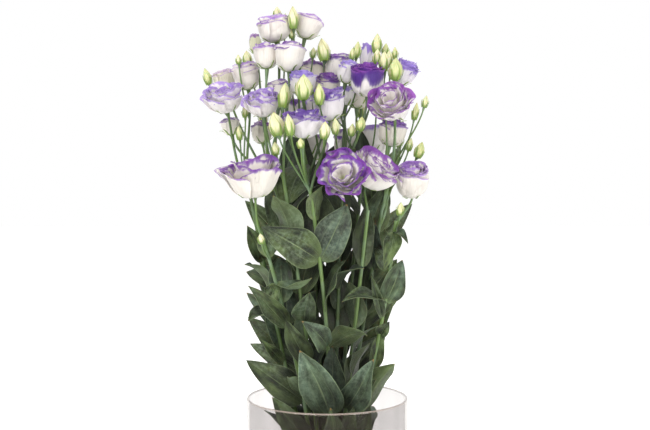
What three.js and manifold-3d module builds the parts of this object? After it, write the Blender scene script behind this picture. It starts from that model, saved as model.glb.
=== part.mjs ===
// A bunch of double lisianthus standing in a clear glass cylinder of water.
// Millimetres, +Z up. The origin is the middle of the vase's foot, and the side
// of the bunch that is meant to be seen faces -Y.
import * as THREE from "three";
import { mergeVertices } from "three/addons/utils/BufferGeometryUtils.js";
import Module from "manifold-3d";

const wasm = await Module();
wasm.setup();

// Clearance between pieces that touch
const GAP = 0.3;

// Glass cylinder and the water in it
const VASE_RADIUS = 95;
const VASE_HEIGHT = 300;
const VASE_WALL = 3;
const VASE_FLOOR = 9;
const VASE_SIDES = 32;
const WATER_LEVEL = 150;
const HOLE_OVERRUN = 5;

// Elastic band that holds the stems together
const BAND_HEIGHT = 178;
const BAND_WIDTH = 6;
const BAND_THICKNESS = 1.6;
const BAND_SIDES = 12;

// Main stems: where they pass the band, how they spread below it, and their thickness
const INNER_RING = 4.9;
const OUTER_RING = 11.8;
const FOOT_SPREAD = 1.5;
const STEM_FOOT_RADIUS = 2.9;
const STEM_TOP_RADIUS = 2.0;
const STEM_SIDES = 4;
const STEM_STEPS = 4;

// Side stems that carry the blooms and the buds
const BLOOM_STALK_RADIUS = 1.35;
const BUD_STALK_RADIUS = 1.0;
const STALK_SIDES = 3;
const BUD_SIDES = 4;
const SMALL_BUD = 9;
const BUD_RINGS = [[0.22, 0.4], [0.5, 0.5], [1, 0]];
const SMALL_BUD_RINGS = [[0.4, 0.5], [1, 0]];
const STALK_STEPS = 3;
const STALK_SPLAY = 0.45;
const ROOT_DEPTH = 6;
const NECK_RADIUS = 2.6;
const NECK_LENGTH = 5;

// Blades: thickness, fold along the middle, rows of points as shares of the length, how
// deep a leaf is rooted as a share of its stem's radius, and the width of a large leaf
const LEAF_THICKNESS = 0.9;
const PETAL_THICKNESS = 0.8;
const LEAF_FOLD = 0.22;
const LEAF_FIRST_ROW = 0.3;
const SMALL_LEAF_ROW = 0.42;
const LARGE_LEAF_ROWS = [0.45, 0.75];
const LEAF_ROOT = 0.5;
const LARGE_LEAF = 27;

// Outline of a leaf, from its stem (0) to its tip (1): how broad, how narrow at the stem,
// and how it swells and tapers
const LEAF_BREADTH = 1.33;
const LEAF_STALK = 0.02;
const LEAF_SWELL = 0.6;
const LEAF_TAPER = 0.9;

// Leaf pairs that grow by rule, from the lowest pair to the highest: length, width. Each
// leaf is larger or smaller by LEAF_VARIATION and rises by LEAF_STEEP degrees.
const LOWEST_PAIR = 212;
const PAIR_SPACING = 26;
const FIRST_PAIR_SPREAD = 24;
const PAIR_TURN = 90;
const PAIR_SWING = 20;
const SHOWN_NEARBY = 16;
const LEAF_LENGTH = [88, 66];
const LEAF_WIDTH = [50, 38];
const LEAF_VARIATION = [0.85, 1.1];
const LEAF_STEEP = [32, 58];
const LEAF_ARCH = [4, 9];

// How a stalk or leaf is moved from try to try until it is clear of the rest
const TRY_TURN = 2.4;
const STALK_TRIES = 28;
const STALK_TRY_STEP = 3.4;
const STALK_CLEARANCE = 0.8;
const STALK_PULL = [0.35, 0.3];
const LEAF_TRIES = 24;
const LEAF_TRY_STEP = [1.8, 2.6, 1.3];
const LEAF_CLEARANCE = 3.2;
const LEAF_TRY_SWING = 9;
const LEAF_TRY_RISE = 2.4;
const LEAF_TRY_SHRINK = 0.02;
const STEEPEST_LEAF = 78;
const LEAF_REACH = 90;

// Points at which room is tested or taken along stems, stalks and leaves, and the balls
// that stand for a bloom: a wide one has a middle and a ring of balls
const STEM_TEST_STEP = 6;
const STALK_TESTS = 16;
const STALK_ROOT_TESTS = 2;
const STALK_BALLS = 24;
const LEAF_TESTS_ALONG = [0.2, 0.35, 0.5, 0.65, 0.8, 0.97];
const LEAF_TESTS_ACROSS = [-0.9, -0.45, 0, 0.45, 0.9];
const BUD_ROOM = 0.6;
const BLOOM_ROOM = { middle: 0.5, size: 0.5 };
const WIDE_BLOOM = { flatter: 0.8, middle: 0.6, size: 0.45, balls: 8, ring: 0.3, ball: 0.22 };

// Stems: ring slot angle in degrees, ring, top (right, away, up) and sideways bow
const STEMS = {
  stem_01: { slot: -144, ring: OUTER_RING, top: [-75, -57, 497], bow: [8, 0] },
  stem_02: { slot: -108, ring: OUTER_RING, top: [-50, -55, 560], bow: [3, 0] },
  stem_03: { slot: -72, ring: OUTER_RING, top: [-20, -64, 545], bow: [9, -5] },
  stem_04: { slot: -36, ring: OUTER_RING, top: [46, -50, 520], bow: [0, 0] },
  stem_05: { slot: 0, ring: OUTER_RING, top: [79, -28, 508], bow: [9, 0] },
  stem_06: { slot: 36, ring: OUTER_RING, top: [65, -8, 526], bow: [0, 4] },
  stem_07: { slot: 180, ring: OUTER_RING, top: [-92, -5, 545], bow: [-3, 0] },
  stem_08: { slot: 180, ring: INNER_RING, top: [-60, 12, 560], bow: [-2, 0] },
  stem_09: { slot: 90, ring: INNER_RING, top: [-22, 20, 570], bow: [0, 0] },
  stem_10: { slot: -90, ring: INNER_RING, top: [15, -12, 570], bow: [4, -5] },
  stem_11: { slot: 0, ring: INNER_RING, top: [42, 18, 565], bow: [0, 0] },
  stem_12: { slot: 108, ring: OUTER_RING, top: [2, 58, 555], bow: [0, 6] },
  stem_13: { slot: 144, ring: OUTER_RING, top: [-58, 50, 545], bow: [0, 6] },
  stem_14: { slot: 72, ring: OUTER_RING, top: [60, 50, 545], bow: [0, 6] },
};

// Blooms: kind, stem, height of the branch on it, middle of the rim, width across,
// and the way the bloom faces: degrees off upright, towards a compass angle
const BLOOMS = [
  ["bloom_01", "bell", "stem_08", 560, [-66, -5, 748], 36, 12, 200],
  ["bloom_02", "cup", "stem_09", 570, [-21, 10, 754], 27, 12, 0],
  ["bloom_03", "slim", "stem_08", 560, [-90, 40, 737], 14, 8, 180],
  ["bloom_04", "cup", "stem_08", 530, [-73, -20, 713], 26, 6, 200],
  ["bloom_05", "cup", "stem_02", 560, [-44, -32, 712], 30, 6, -90],
  ["bloom_06", "cup", "stem_07", 545, [-99, 5, 695], 29, 10, 200],
  ["bloom_07", "plain", "stem_13", 530, [-129, 38, 691], 24, 15, 180],
  ["bloom_08", "open", "stem_07", 545, [-122, -30, 663], 44, 30, -110],
  ["bloom_09", "open", "stem_02", 560, [-74, -55, 653], 40, 26, -100],
  ["bloom_10", "plain", "stem_09", 540, [-58, -8, 671], 26, 10, 150],
  ["bloom_11", "cup", "stem_03", 545, [-29, -43, 678], 26, 6, -120],
  ["bloom_12", "plain", "stem_12", 555, [-18, 50, 703], 32, 8, 90],
  ["bloom_13", "cup", "stem_11", 565, [13, 36, 711], 30, 6, 60],
  ["bloom_14", "cup", "stem_10", 570, [27, -14, 693], 23, 14, -10],
  ["bloom_15", "cup", "stem_09", 570, [1, 8, 683], 24, 20, -90],
  ["bloom_16", "cup", "stem_10", 560, [45, -38, 687], 34, 14, -95],
  ["bloom_17", "slim", "stem_14", 545, [51, 60, 727], 17, 6, 60],
  ["bloom_18", "cup", "stem_06", 526, [96, 0, 696], 26, 24, -25],
  ["bloom_19", "open", "stem_06", 526, [68, -70, 648], 45, 56, -105],
  ["bloom_20", "cup", "stem_03", 545, [0, -50, 656], 32, 12, -100],
  ["bloom_21", "plain", "stem_10", 570, [24, 4, 667], 20, 10, -60],
  ["bloom_22", "plain", "stem_11", 565, [39, 30, 670], 24, 8, 40],
  ["bloom_23", "open", "stem_03", 545, [-27, -79, 630], 44, 14, -90],
  ["bloom_24", "plain", "stem_13", 545, [-118, 15, 631], 19, 10, 190],
  ["bloom_25", "plain", "stem_13", 545, [-82, 50, 628], 23, 12, 120],
  ["bloom_26", "open", "stem_01", 520, [-84, -76, 577], 62, 14, -110],
  ["bloom_27", "open", "stem_10", 500, [17, -88, 563], 49, 72, -92],
  ["bloom_28", "open", "stem_04", 520, [63, -53, 577], 52, 42, -42],
  ["bloom_29", "cup", "stem_05", 537, [96, -31, 571], 36, 30, -100],
  ["bloom_30", "plain", "stem_06", 500, [79, -5, 627], 29, 12, -30],
  ["bloom_31", "plain", "stem_12", 555, [26, 50, 618], 32, 10, 70],
  ["bloom_32", "wide", "stem_12", 540, [-25, 74, 606], 44, 45, 95],
  ["bloom_33", "plain", "stem_14", 545, [62, 70, 623], 34, 25, 70],
  ["bloom_34", "wide", "stem_12", 555, [-3, 88, 655], 50, 50, 90],
  ["bloom_35", "plain", "stem_13", 545, [-53, 75, 654], 40, 25, 110],
  ["bloom_36", "plain", "stem_14", 545, [88, 55, 665], 34, 20, 40],
];

// Buds: stem or bloom they branch from, height on the stem or share of the bloom's
// stalk, middle, width and length
const BUDS = [
  ["bloom_01", 0.55, [-60, 12, 756], 10, 16],
  ["bloom_01", 0.45, [-51, 22, 752], 7, 13],
  ["bloom_02", 0.5, [-40, -12, 746], 12, 26],
  ["bloom_02", 0.3, [-42, 0, 730], 7, 12],
  ["bloom_04", 0.5, [-97, 26, 705], 11, 19],
  ["bloom_06", 0.7, [-104, -12, 697], 6, 11],
  ["bloom_07", 0.6, [-145, 20, 682], 9, 20],
  ["bloom_13", 0.5, [-5, 18, 714], 15, 27],
  ["bloom_02", 0.4, [-17, 28, 712], 7, 13],
  ["bloom_13", 0.6, [36, 12, 713], 9, 19],
  ["bloom_14", 0.6, [30, 8, 707], 7, 14],
  ["stem_11", 565, [60, 20, 722], 12, 23],
  ["bloom_17", 0.5, [71, 32, 717], 8, 14],
  ["bloom_18", 0.5, [82, 24, 711], 7, 14],
  ["bloom_16", 0.55, [58, -14, 700], 9, 18],
  ["stem_06", 520, [66, -24, 693], 12, 23],
  ["bloom_18", 0.6, [74, 8, 703], 8, 17],
  ["bloom_19", 0.4, [78, -36, 682], 16, 25],
  ["bloom_09", 0.4, [-48, -66, 648], 13, 27],
  ["bloom_05", 0.45, [-47, -53, 655], 8, 18],
  ["bloom_11", 0.66, [-26, -84, 655], 18, 27],
  ["bloom_20", 0.5, [-9, -76, 648], 11, 23],
  ["stem_03", 545, [-56, -86, 614], 17, 26],
  ["stem_03", 545, [-41, -100, 612], 10, 23],
  ["bloom_20", 0.4, [-3, -92, 607], 11, 19],
  ["stem_10", 560, [9, -62, 614], 9, 18],
  ["bloom_23", 0.3, [-29, -102, 592], 7, 11],
  ["stem_10", 560, [28, -40, 612], 8, 14],
  ["stem_10", 556, [38, -50, 618], 10, 16],
  ["bloom_18", 0.3, [103, -15, 636], 7, 20],
  ["bloom_18", 0.35, [115, -10, 648], 7, 14],
  ["bloom_18", 0.2, [97, -8, 598], 7, 15],
  ["bloom_18", 0.15, [108, -14, 591], 11, 19],
  ["stem_02", 545, [-58, -62, 589], 9, 14],
  ["stem_07", 530, [-102, -22, 610], 7, 16],
  ["stem_07", 540, [-96, -14, 637], 7, 16],
  ["stem_01", 462, [-73, -78, 489], 7, 12],
  ["stem_05", 494, [82, -56, 522], 8, 15],
  ["bloom_17", 0.4, [34, 84, 690], 12, 24],
  ["stem_12", 540, [-22, 104, 628], 10, 20],
  ["stem_13", 545, [-82, 84, 640], 11, 22],
  ["stem_14", 545, [42, 88, 652], 12, 24],
  ["stem_14", 530, [92, 76, 610], 10, 19],
];

// Leaves of the show side: stem, height, tip, width, how far the upper face turns from
// up (0) to the viewer (1) or away from them (-1), arch and fold of the blade
const SHOW_LEAVES = [
  ["stem_03", 464, [-70, -88, 502], 40, 0.85, 5, 0.12],
  ["stem_03", 464, [20, -74, 530], 40, 0.9, 5, 0.12],
  ["stem_01", 437, [-17, -86, 446], 25, 0.3, -9, 0.6],
  ["stem_01", 437, [-64, -72, 414], 18, 0.6, 6, 0.3],
  ["stem_01", 389, [-84, -80, 442], 23, 0.7, 4, 0.35],
  ["stem_07", 390, [-88, -64, 398], 29, 0.35, 6, 0.5],
  ["stem_02", 392, [-20, -66, 428], 28, 0.9, 4, 0.25],
  ["stem_07", 460, [-92, -32, 502], 22, 0.7, 4, 0.3],
  ["stem_07", 425, [-92, -38, 460], 24, 0.3, 7, 0.6],
  ["stem_08", 490, [-70, -14, 547], 23, 1, 3, 0.2],
  ["stem_09", 490, [-32, -8, 548], 22, 1, 3, 0.2],
  ["stem_02", 345, [-49, -52, 396], 25, 0.9, 4, 0.2],
  ["stem_07", 340, [-76, -22, 370], 14, 0.8, 3, 0.3],
  ["stem_01", 300, [-92, -46, 350], 35, 0.7, 8, 0.25],
  ["stem_02", 300, [-42, -74, 345], 21, -0.8, 5, 0.2],
  ["stem_03", 283, [-30, -92, 368], 44, 0.85, 5, 0.15],
  ["stem_03", 365, [44, -86, 386], 26, -0.6, 7, 0.3],
  ["stem_03", 365, [-26, -88, 404], 26, 0.8, 5, 0.2],
  ["stem_04", 290, [50, -76, 354], 34, 0.8, 6, 0.3],
  ["stem_03", 300, [6, -62, 372], 30, 0.9, 4, 0.2],
  ["stem_06", 290, [54, -40, 326], 20, 0.8, 3, 0.3],
  ["stem_05", 285, [72, -42, 342], 30, -0.5, 6, 0.7],
  ["stem_05", 335, [64, -14, 380], 17, 0.9, 3, 0.3],
  ["stem_05", 372, [70, -8, 396], 15, 0.7, 4, 0.3],
  ["stem_05", 413, [18, -78, 424], 21, 0.4, 6, 0.35],
  ["stem_10", 430, [40, -62, 456], 28, 0.5, 6, 0.4],
  ["stem_04", 456, [45, -30, 528], 25, 0.95, 3, 0.2],
  ["stem_06", 450, [56, -18, 505], 22, 0.9, 3, 0.3],
  ["stem_06", 495, [70, -4, 540], 17, -0.8, 4, 0.3],
  ["stem_05", 494, [64, -62, 456], 20, 0.9, 5, 0.3],
  ["stem_05", 494, [86, -40, 482], 12, 0.5, 8, 0.3],
  ["stem_05", 450, [54, -16, 480], 18, 0.8, 4, 0.3],
  ["stem_05", 413, [86, -24, 464], 28, 0.8, 4, 0.3],
  ["stem_05", 395, [44, -60, 444], 12, 0.7, 5, 0.3],
  ["stem_01", 250, [-62, -54, 312], 28, 0.8, 4, 0.25],
  ["stem_04", 232, [4, -66, 298], 36, 0.85, 4, 0.2],
  ["stem_04", 238, [30, -52, 300], 26, 0.85, 4, 0.2],
  ["stem_05", 240, [50, -42, 298], 24, 0.8, 4, 0.3],
  ["stem_13", 430, [-88, 30, 475], 30, 0.9, 4, 0.2],
  ["stem_08", 405, [-84, 22, 436], 27, 0.9, 4, 0.2],
  ["stem_12", 428, [30, 40, 470], 30, 0.9, 4, 0.2],
  ["stem_12", 428, [-34, 52, 468], 30, 0.9, 4, 0.2],
  ["stem_14", 400, [86, 44, 460], 32, 0.9, 4, 0.2],
  ["stem_14", 355, [82, 30, 410], 30, 0.9, 4, 0.2],
  ["stem_11", 358, [36, 34, 414], 30, 0.9, 4, 0.2],
  ["stem_14", 316, [70, 22, 374], 30, 0.9, 4, 0.2],
  ["stem_13", 340, [-94, 8, 392], 32, 0.9, 4, 0.2],
  ["stem_13", 500, [-30, 62, 562], 28, 0.9, 4, 0.2],
  ["stem_13", 480, [-100, 30, 532], 28, 0.9, 4, 0.2],
  ["stem_13", 465, [-20, 48, 528], 26, 0.9, 4, 0.2],
  ["stem_14", 470, [12, 44, 536], 29, 0.9, 4, 0.2],
  ["stem_14", 505, [72, 52, 558], 26, 0.9, 4, 0.2],
  ["stem_14", 480, [98, 42, 528], 28, 0.9, 4, 0.2],
  ["stem_11", 415, [54, 28, 462], 27, 0.9, 4, 0.2],
  ["stem_11", 400, [4, 24, 446], 28, 0.9, 4, 0.2],
  ["stem_12", 365, [16, 48, 434], 28, 0.9, 4, 0.2],
  ["stem_11", 380, [82, 16, 416], 26, 0.9, 4, 0.2],
  ["stem_13", 310, [-8, 30, 380], 27, 0.9, 4, 0.2],
  ["stem_12", 318, [34, 34, 382], 30, 0.9, 4, 0.2],
  ["stem_13", 372, [-98, 30, 420], 28, 0.9, 4, 0.2],
  ["stem_08", 325, [-92, 2, 366], 28, 0.9, 4, 0.2],
  ["stem_08", 430, [-99, 26, 452], 28, 0.9, 4, 0.2],
  ["stem_12", 526, [-34, 58, 580], 26, 0.9, 4, 0.2],
  ["stem_12", 530, [28, 78, 590], 26, 0.9, 4, 0.2],
  ["stem_13", 528, [-34, 56, 608], 26, 0.9, 4, 0.2],
  ["stem_13", 528, [-84, 66, 590], 26, 0.9, 4, 0.2],
  ["stem_14", 528, [44, 62, 600], 26, 0.9, 4, 0.2],
  ["stem_14", 528, [84, 60, 596], 24, 0.9, 4, 0.2],
  ["stem_09", 552, [-32, 38, 624], 24, 0.9, 4, 0.2],
  ["stem_11", 548, [40, 34, 622], 24, 0.9, 4, 0.2],
  ["stem_09", 540, [6, 34, 604], 26, 0.9, 4, 0.2],
  ["stem_08", 545, [-46, 30, 618], 24, 0.9, 4, 0.2],
];

const COLOURS = {
  vase: { color: 0xe9e6e3, roughness: 0.05, metalness: 0 },
  water: { color: 0xdfe8e6, roughness: 0.04, metalness: 0 },
  band: { color: 0xb98f62, roughness: 0.7, metalness: 0 },
  foliage: { color: 0x4c6349, roughness: 0.6, metalness: 0 },
  petals: { color: 0xe6def2, roughness: 0.7, metalness: 0 },
};

// Kinds of bloom. A bloom is a bowl whose whorls of petals stand one in another round a
// pointed middle. Each whorl has its number of columns a petal, and the rings from its
// root up, as shares of the bloom's half width and height. Petals part above the root.
const KINDS = {
  open: {
    tall: 0.7,
    bowl: [0.5, 0.06],
    point: 0.86,
    whorls: [
      { columns: 2, shift: 0, turn: 0, drop: 0.16, rings: [[0.74, 0.3], [0.88, 0.62], [1.06, 0.8]] },
      { columns: 2, shift: 1, turn: 0, drop: 0.12, rings: [[0.5, 0.34], [0.74, 0.98]] },
      { columns: 1, shift: 0, turn: 0, drop: 0, rings: [[0.3, 0.42], [0.44, 1]] },
    ],
  },
  cup: {
    tall: 1.08,
    bowl: [0.6, 0.07],
    point: 0.88,
    whorls: [
      { columns: 2, shift: 0, turn: 0, drop: 0.09, rings: [[0.93, 0.42], [1.02, 0.95]] },
      { columns: 1, shift: 0, turn: -36, drop: 0, rings: [[0.5, 0.5], [0.66, 1]] },
    ],
  },
  wide: {
    tall: 0.7,
    bowl: [0.5, 0.06],
    point: 0.9,
    whorls: [
      { columns: 2, shift: 0, turn: 0, drop: 0.16, rings: [[0.74, 0.3], [0.88, 0.62], [1.06, 0.8]] },
      { columns: 2, shift: 1, turn: 0, drop: 0.12, rings: [[0.5, 0.34], [0.74, 0.98]] },
    ],
  },
  bell: {
    tall: 0.82,
    bowl: [0.5, 0.07],
    point: 0.84,
    whorls: [
      { columns: 2, shift: 0, turn: 0, drop: 0.12, rings: [[0.76, 0.36], [1.02, 0.92]] },
      { columns: 1, shift: 0, turn: -36, drop: 0, rings: [[0.44, 0.5], [0.6, 1]] },
    ],
  },
  plain: {
    tall: 1.08,
    bowl: [0.6, 0.07],
    point: 0.92,
    whorls: [
      { columns: 2, shift: 0, turn: 0, drop: 0.09, rings: [[0.93, 0.42], [1.02, 0.95]] },
    ],
  },
  slim: {
    tall: 1.75,
    bowl: [0.7, 0.12],
    point: 0.9,
    whorls: [
      { columns: 2, shift: 0, turn: 0, drop: 0.08, rings: [[0.96, 0.42], [0.86, 1]] },
    ],
  },
};
const WHORL_PETALS = 5;
const PINWHEEL = 0.07;
const PETAL_SHARE = 0.94;

const UP = new THREE.Vector3(0, 0, 1);

const vector = ([x, y, z]) => new THREE.Vector3(x, y, z);
const mix = (a, b, share) => a + (b - a) * share;

// Random numbers from 0 to 1 that are the same on every run
function randomFrom(seed) {
  let state = (seed * 7919 + 104729) % 4294967296;
  return () => {
    state = (state * 1664525 + 1013904223) % 4294967296;
    return state / 4294967296;
  };
}

// A closed solid from points and triangles, turned so that its faces point out
function solidFrom(points, faces) {
  let volume = 0;
  for (const [a, b, c] of faces) {
    volume += points[a].dot(points[b].clone().cross(points[c]));
  }
  const outward = volume > 0 ? faces : faces.map(([a, b, c]) => [a, c, b]);
  return new wasm.Manifold(new wasm.Mesh({
    numProp: 3,
    vertProperties: new Float32Array(points.flatMap((point) => point.toArray())),
    triVerts: new Uint32Array(outward.flat()),
  }));
}

// A solid from a three.js geometry
function solidFromGeometry(geometry) {
  geometry.deleteAttribute("normal");
  geometry.deleteAttribute("uv");
  const merged = mergeVertices(geometry, 1e-3);
  return new wasm.Manifold(new wasm.Mesh({
    numProp: 3,
    vertProperties: new Float32Array(merged.attributes.position.array),
    triVerts: new Uint32Array(merged.index.array),
  }));
}

function fuse(solids) {
  return solids.reduce((whole, solid) => whole.add(solid));
}

// Adds one named mesh to the model
function addMesh(group, name, solid, look) {
  const { vertProperties, triVerts } = solid.getMesh();
  const geometry = new THREE.BufferGeometry();
  geometry.setAttribute("position", new THREE.BufferAttribute(vertProperties, 3));
  geometry.setIndex(new THREE.BufferAttribute(triVerts, 1));
  geometry.computeVertexNormals();
  const mesh = new THREE.Mesh(geometry, new THREE.MeshStandardMaterial(look));
  mesh.name = name;
  group.add(mesh);
  return mesh;
}

// A rod through the given centres. A radius of 0 at an end makes it pointed.
function rod(centres, radii, sides) {
  const points = [];
  const faces = [];
  const rings = centres.map((centre, i) => {
    if (radii[i] === 0) {
      points.push(centre);
      return [points.length - 1];
    }
    const before = centres[Math.max(i - 1, 0)];
    const after = centres[Math.min(i + 1, centres.length - 1)];
    const along = after.clone().sub(before).normalize();
    const across = new THREE.Vector3(0, 1, 0.02).cross(along).normalize();
    const over = along.clone().cross(across);
    return Array.from({ length: sides }, (_, k) => {
      const angle = (2 * Math.PI * k) / sides;
      const point = centre.clone();
      point.addScaledVector(across, radii[i] * Math.cos(angle));
      point.addScaledVector(over, radii[i] * Math.sin(angle));
      points.push(point);
      return points.length - 1;
    });
  });
  for (let i = 0; i + 1 < rings.length; i += 1) {
    for (let k = 0; k < sides; k += 1) {
      const next = (k + 1) % sides;
      const [low, high] = [rings[i], rings[i + 1]];
      if (low.length > 1) faces.push([low[k], low[next], high[next % high.length]]);
      if (high.length > 1) faces.push([low[k % low.length], high[next], high[k]]);
    }
  }
  for (const [ring, first] of [[rings[0], true], [rings.at(-1), false]]) {
    for (let k = 1; k + 1 < ring.length; k += 1) {
      faces.push(first ? [ring[0], ring[k + 1], ring[k]] : [ring[0], ring[k], ring[k + 1]]);
    }
  }
  return solidFrom(points, faces);
}

// A blade of even thickness through rows of points. The first and the last row may be
// one point, and a row may have more points than the one before it.
function blade(rows, thickness) {
  const points = rows.flat();
  const faces = [];
  let first = 0;
  for (let r = 0; r + 1 < rows.length; r += 1) {
    const [m, n] = [rows[r].length - 1, rows[r + 1].length - 1];
    const second = first + m + 1;
    for (let i = 0, j = 0; i < m || j < n;) {
      if (i < m && (j >= n || (i + 0.5) * n < (j + 0.5) * m)) {
        faces.push([first + i, first + i + 1, second + j]);
        i += 1;
      } else {
        faces.push([first + i, second + j + 1, second + j]);
        j += 1;
      }
    }
    first = second;
  }
  const skins = sheetSkins(points, faces, thickness, 0);
  return solidFrom([...skins.back, ...skins.front], skins.faces);
}

// Both skins of an open sheet, split into the same triangles, and the rim between them
// along its free edges. The first points may be a root ring, whose edges stay open.
function sheetSkins(points, faces, thickness, roots) {
  const normals = points.map(() => new THREE.Vector3());
  const edges = new Map();
  for (const face of faces) {
    const [a, b, c] = face.map((index) => points[index]);
    const normal = b.clone().sub(a).cross(c.clone().sub(a));
    face.forEach((index, k) => {
      const next = face[(k + 1) % 3];
      normals[index].add(normal);
      if (!edges.delete(`${next},${index}`)) edges.set(`${index},${next}`, [index, next]);
    });
  }
  normals.forEach((normal) => normal.setLength(thickness / 2));
  const back = points.map((point, i) => point.clone().add(normals[i]));
  const front = points.map((point, i) => point.clone().sub(normals[i]));
  const count = points.length;
  const free = [...edges.values()].filter((edge) => Math.max(...edge) >= roots);
  const rim = free.flatMap(([a, b]) => [[b, a, a + count], [b, a + count, b + count]]);
  const reversed = faces.map(([a, b, c]) => [a + count, c + count, b + count]);
  return { back, front, faces: [...faces, ...reversed, ...rim] };
}

// Room taken so far: balls along everything placed, each with its owner
const room = [];

function take(points, radius, owner) {
  for (const point of points) room.push({ point, radius, owner });
}

// Free distance between the given points and what other owners have taken
function clearance(points, radius, owners) {
  let least = Infinity;
  for (const ball of room) {
    if (owners.includes(ball.owner)) continue;
    for (const point of points) {
      least = Math.min(least, point.distanceTo(ball.point) - ball.radius - radius);
    }
  }
  return least;
}

// Middle line of a main stem
function stemPoint(stem, height) {
  const { slot, ring, top, bow } = stem;
  const angle = THREE.MathUtils.degToRad(slot);
  const [x, y] = [ring * Math.cos(angle), ring * Math.sin(angle)];
  if (height < BAND_HEIGHT) {
    const spread = mix(FOOT_SPREAD, 1, height / BAND_HEIGHT);
    return new THREE.Vector3(x * spread, y * spread, height);
  }
  const share = (height - BAND_HEIGHT) / (top[2] - BAND_HEIGHT);
  const bulge = 4 * share * (1 - share);
  const place = [mix(x, top[0], share) + bow[0] * bulge, mix(y, top[1], share) + bow[1] * bulge];
  return new THREE.Vector3(...place, height);
}

function stemDirection(stem, height) {
  return stemPoint(stem, height).sub(stemPoint(stem, height - 5)).normalize();
}

// Heights of the rings of a main stem's rod
function stemHeights(stem) {
  const foot = VASE_FLOOR + GAP;
  const steps = Array.from({ length: STEM_STEPS }, (_, i) => (
    mix(BAND_HEIGHT, stem.top[2], (i + 1) / STEM_STEPS)
  ));
  return [foot, BAND_HEIGHT, ...steps];
}

function stemRadius(stem, height) {
  return mix(STEM_FOOT_RADIUS, STEM_TOP_RADIUS, height / stem.top[2]);
}

// A smooth curve with four control points
function curvePoint([a, b, c, d], share) {
  const rest = 1 - share;
  const point = a.clone().multiplyScalar(rest ** 3);
  point.addScaledVector(b, 3 * rest * rest * share);
  point.addScaledVector(c, 3 * rest * share * share);
  return point.addScaledVector(d, share ** 3);
}

function curvePoints(controls, steps) {
  return Array.from({ length: steps + 1 }, (_, i) => curvePoint(controls, i / steps));
}

// A stalk from a root to an end, bent to the side that keeps it clear of the rest
function routeStalk(root, rootDirection, end, endDirection, radius, owners) {
  const length = root.distanceTo(end);
  const outward = end.clone().sub(root).setZ(0).normalize();
  const start = rootDirection.clone().addScaledVector(outward, STALK_SPLAY).normalize();
  let best = null;
  for (let attempt = 0; attempt < STALK_TRIES; attempt += 1) {
    const angle = attempt * TRY_TURN;
    const bend = STALK_TRY_STEP * Math.sqrt(attempt);
    const aside = new THREE.Vector3(bend * Math.cos(angle), bend * Math.sin(angle), 0);
    const controls = [
      root,
      root.clone().addScaledVector(start, length * STALK_PULL[0]).add(aside),
      end.clone().addScaledVector(endDirection, -length * STALK_PULL[1]).add(aside),
      end,
    ];
    const tested = curvePoints(controls, STALK_TESTS).slice(STALK_ROOT_TESTS, -1);
    const free = clearance(tested, radius, owners);
    if (!best || free > best.free) best = { controls, free };
    if (free > STALK_CLEARANCE) break;
  }
  return best.controls;
}

// Direction a bloom faces
function facing(lean, compass) {
  const [off, turn] = [lean, compass].map(THREE.MathUtils.degToRad);
  const flat = Math.sin(off);
  return new THREE.Vector3(flat * Math.cos(turn), flat * Math.sin(turn), Math.cos(off));
}

// Everything known about a bloom before it is built
function planBloom([name, kind, stemName, height, rim, width, lean, compass]) {
  const axis = facing(lean, compass);
  const tall = width * KINDS[kind].tall;
  const base = vector(rim).addScaledVector(axis, -tall);
  return { name, kind, stemName, height, width, tall, axis, base };
}

// Takes the room of a bloom as balls
function takeBloom({ name, kind, width, tall, axis, base }) {
  if (KINDS[kind].tall > WIDE_BLOOM.flatter) {
    const centre = base.clone().addScaledVector(axis, tall * BLOOM_ROOM.middle);
    take([centre], Math.max(tall, width) * BLOOM_ROOM.size, name);
    return;
  }
  const centre = base.clone().addScaledVector(axis, tall * WIDE_BLOOM.middle);
  take([centre], tall * WIDE_BLOOM.size, name);
  const turn = new THREE.Quaternion().setFromUnitVectors(UP, axis);
  for (let k = 0; k < WIDE_BLOOM.balls; k += 1) {
    const angle = (2 * Math.PI * k) / WIDE_BLOOM.balls;
    const edge = new THREE.Vector3(Math.cos(angle), Math.sin(angle), 0).applyQuaternion(turn);
    const place = centre.clone().addScaledVector(edge, width * WIDE_BLOOM.ring);
    take([place], width * WIDE_BLOOM.ball, name);
  }
}

// Middle surface of one whorl: a ring of roots and, above it, each petal's own rows
function whorlSheet({ columns, shift, turn, drop, rings }, half, tall) {
  const points = [];
  const round = WHORL_PETALS * columns;
  const place = (step, radius, height) => {
    const angle = THREE.MathUtils.degToRad(turn) + (2 * Math.PI * step) / round;
    points.push(new THREE.Vector3(radius * Math.cos(angle), radius * Math.sin(angle), height));
    return points.length - 1;
  };
  const root = Array.from({ length: round }, (_, step) => (
    place(step, half * rings[0][0], tall * rings[0][1])
  ));
  const faces = [];
  for (let petal = 0; petal < WHORL_PETALS; petal += 1) {
    const first = petal * columns + shift;
    let below = Array.from({ length: columns + 1 }, (_, k) => root[(first + k) % round]);
    for (const [radius, height] of rings.slice(1)) {
      const row = below.map((_, k) => {
        const across = (2 * k) / columns - 1;
        const swirl = PINWHEEL * across;
        const step = first + columns / 2 + (across * columns * PETAL_SHARE) / 2;
        return place(step, half * (radius + swirl), tall * (height - drop * across * across));
      });
      for (let k = 0; k < columns; k += 1) {
        faces.push([below[k], below[k + 1], row[k + 1]], [below[k], row[k + 1], row[k]]);
      }
      below = row;
    }
  }
  return { points, faces, root };
}

// Triangles between two rings that may differ in number, the first below or outside
function ringStrip(low, high) {
  const faces = [];
  const [m, n] = [low.length, high.length];
  for (let i = 0, j = 0; i < m || j < n;) {
    if (j * m >= i * n && i < m) {
      faces.push([low[i], low[(i + 1) % m], high[j % n]]);
      i += 1;
    } else {
      faces.push([low[i % m], high[(j + 1) % n], high[j]]);
      j += 1;
    }
  }
  return faces;
}

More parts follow.
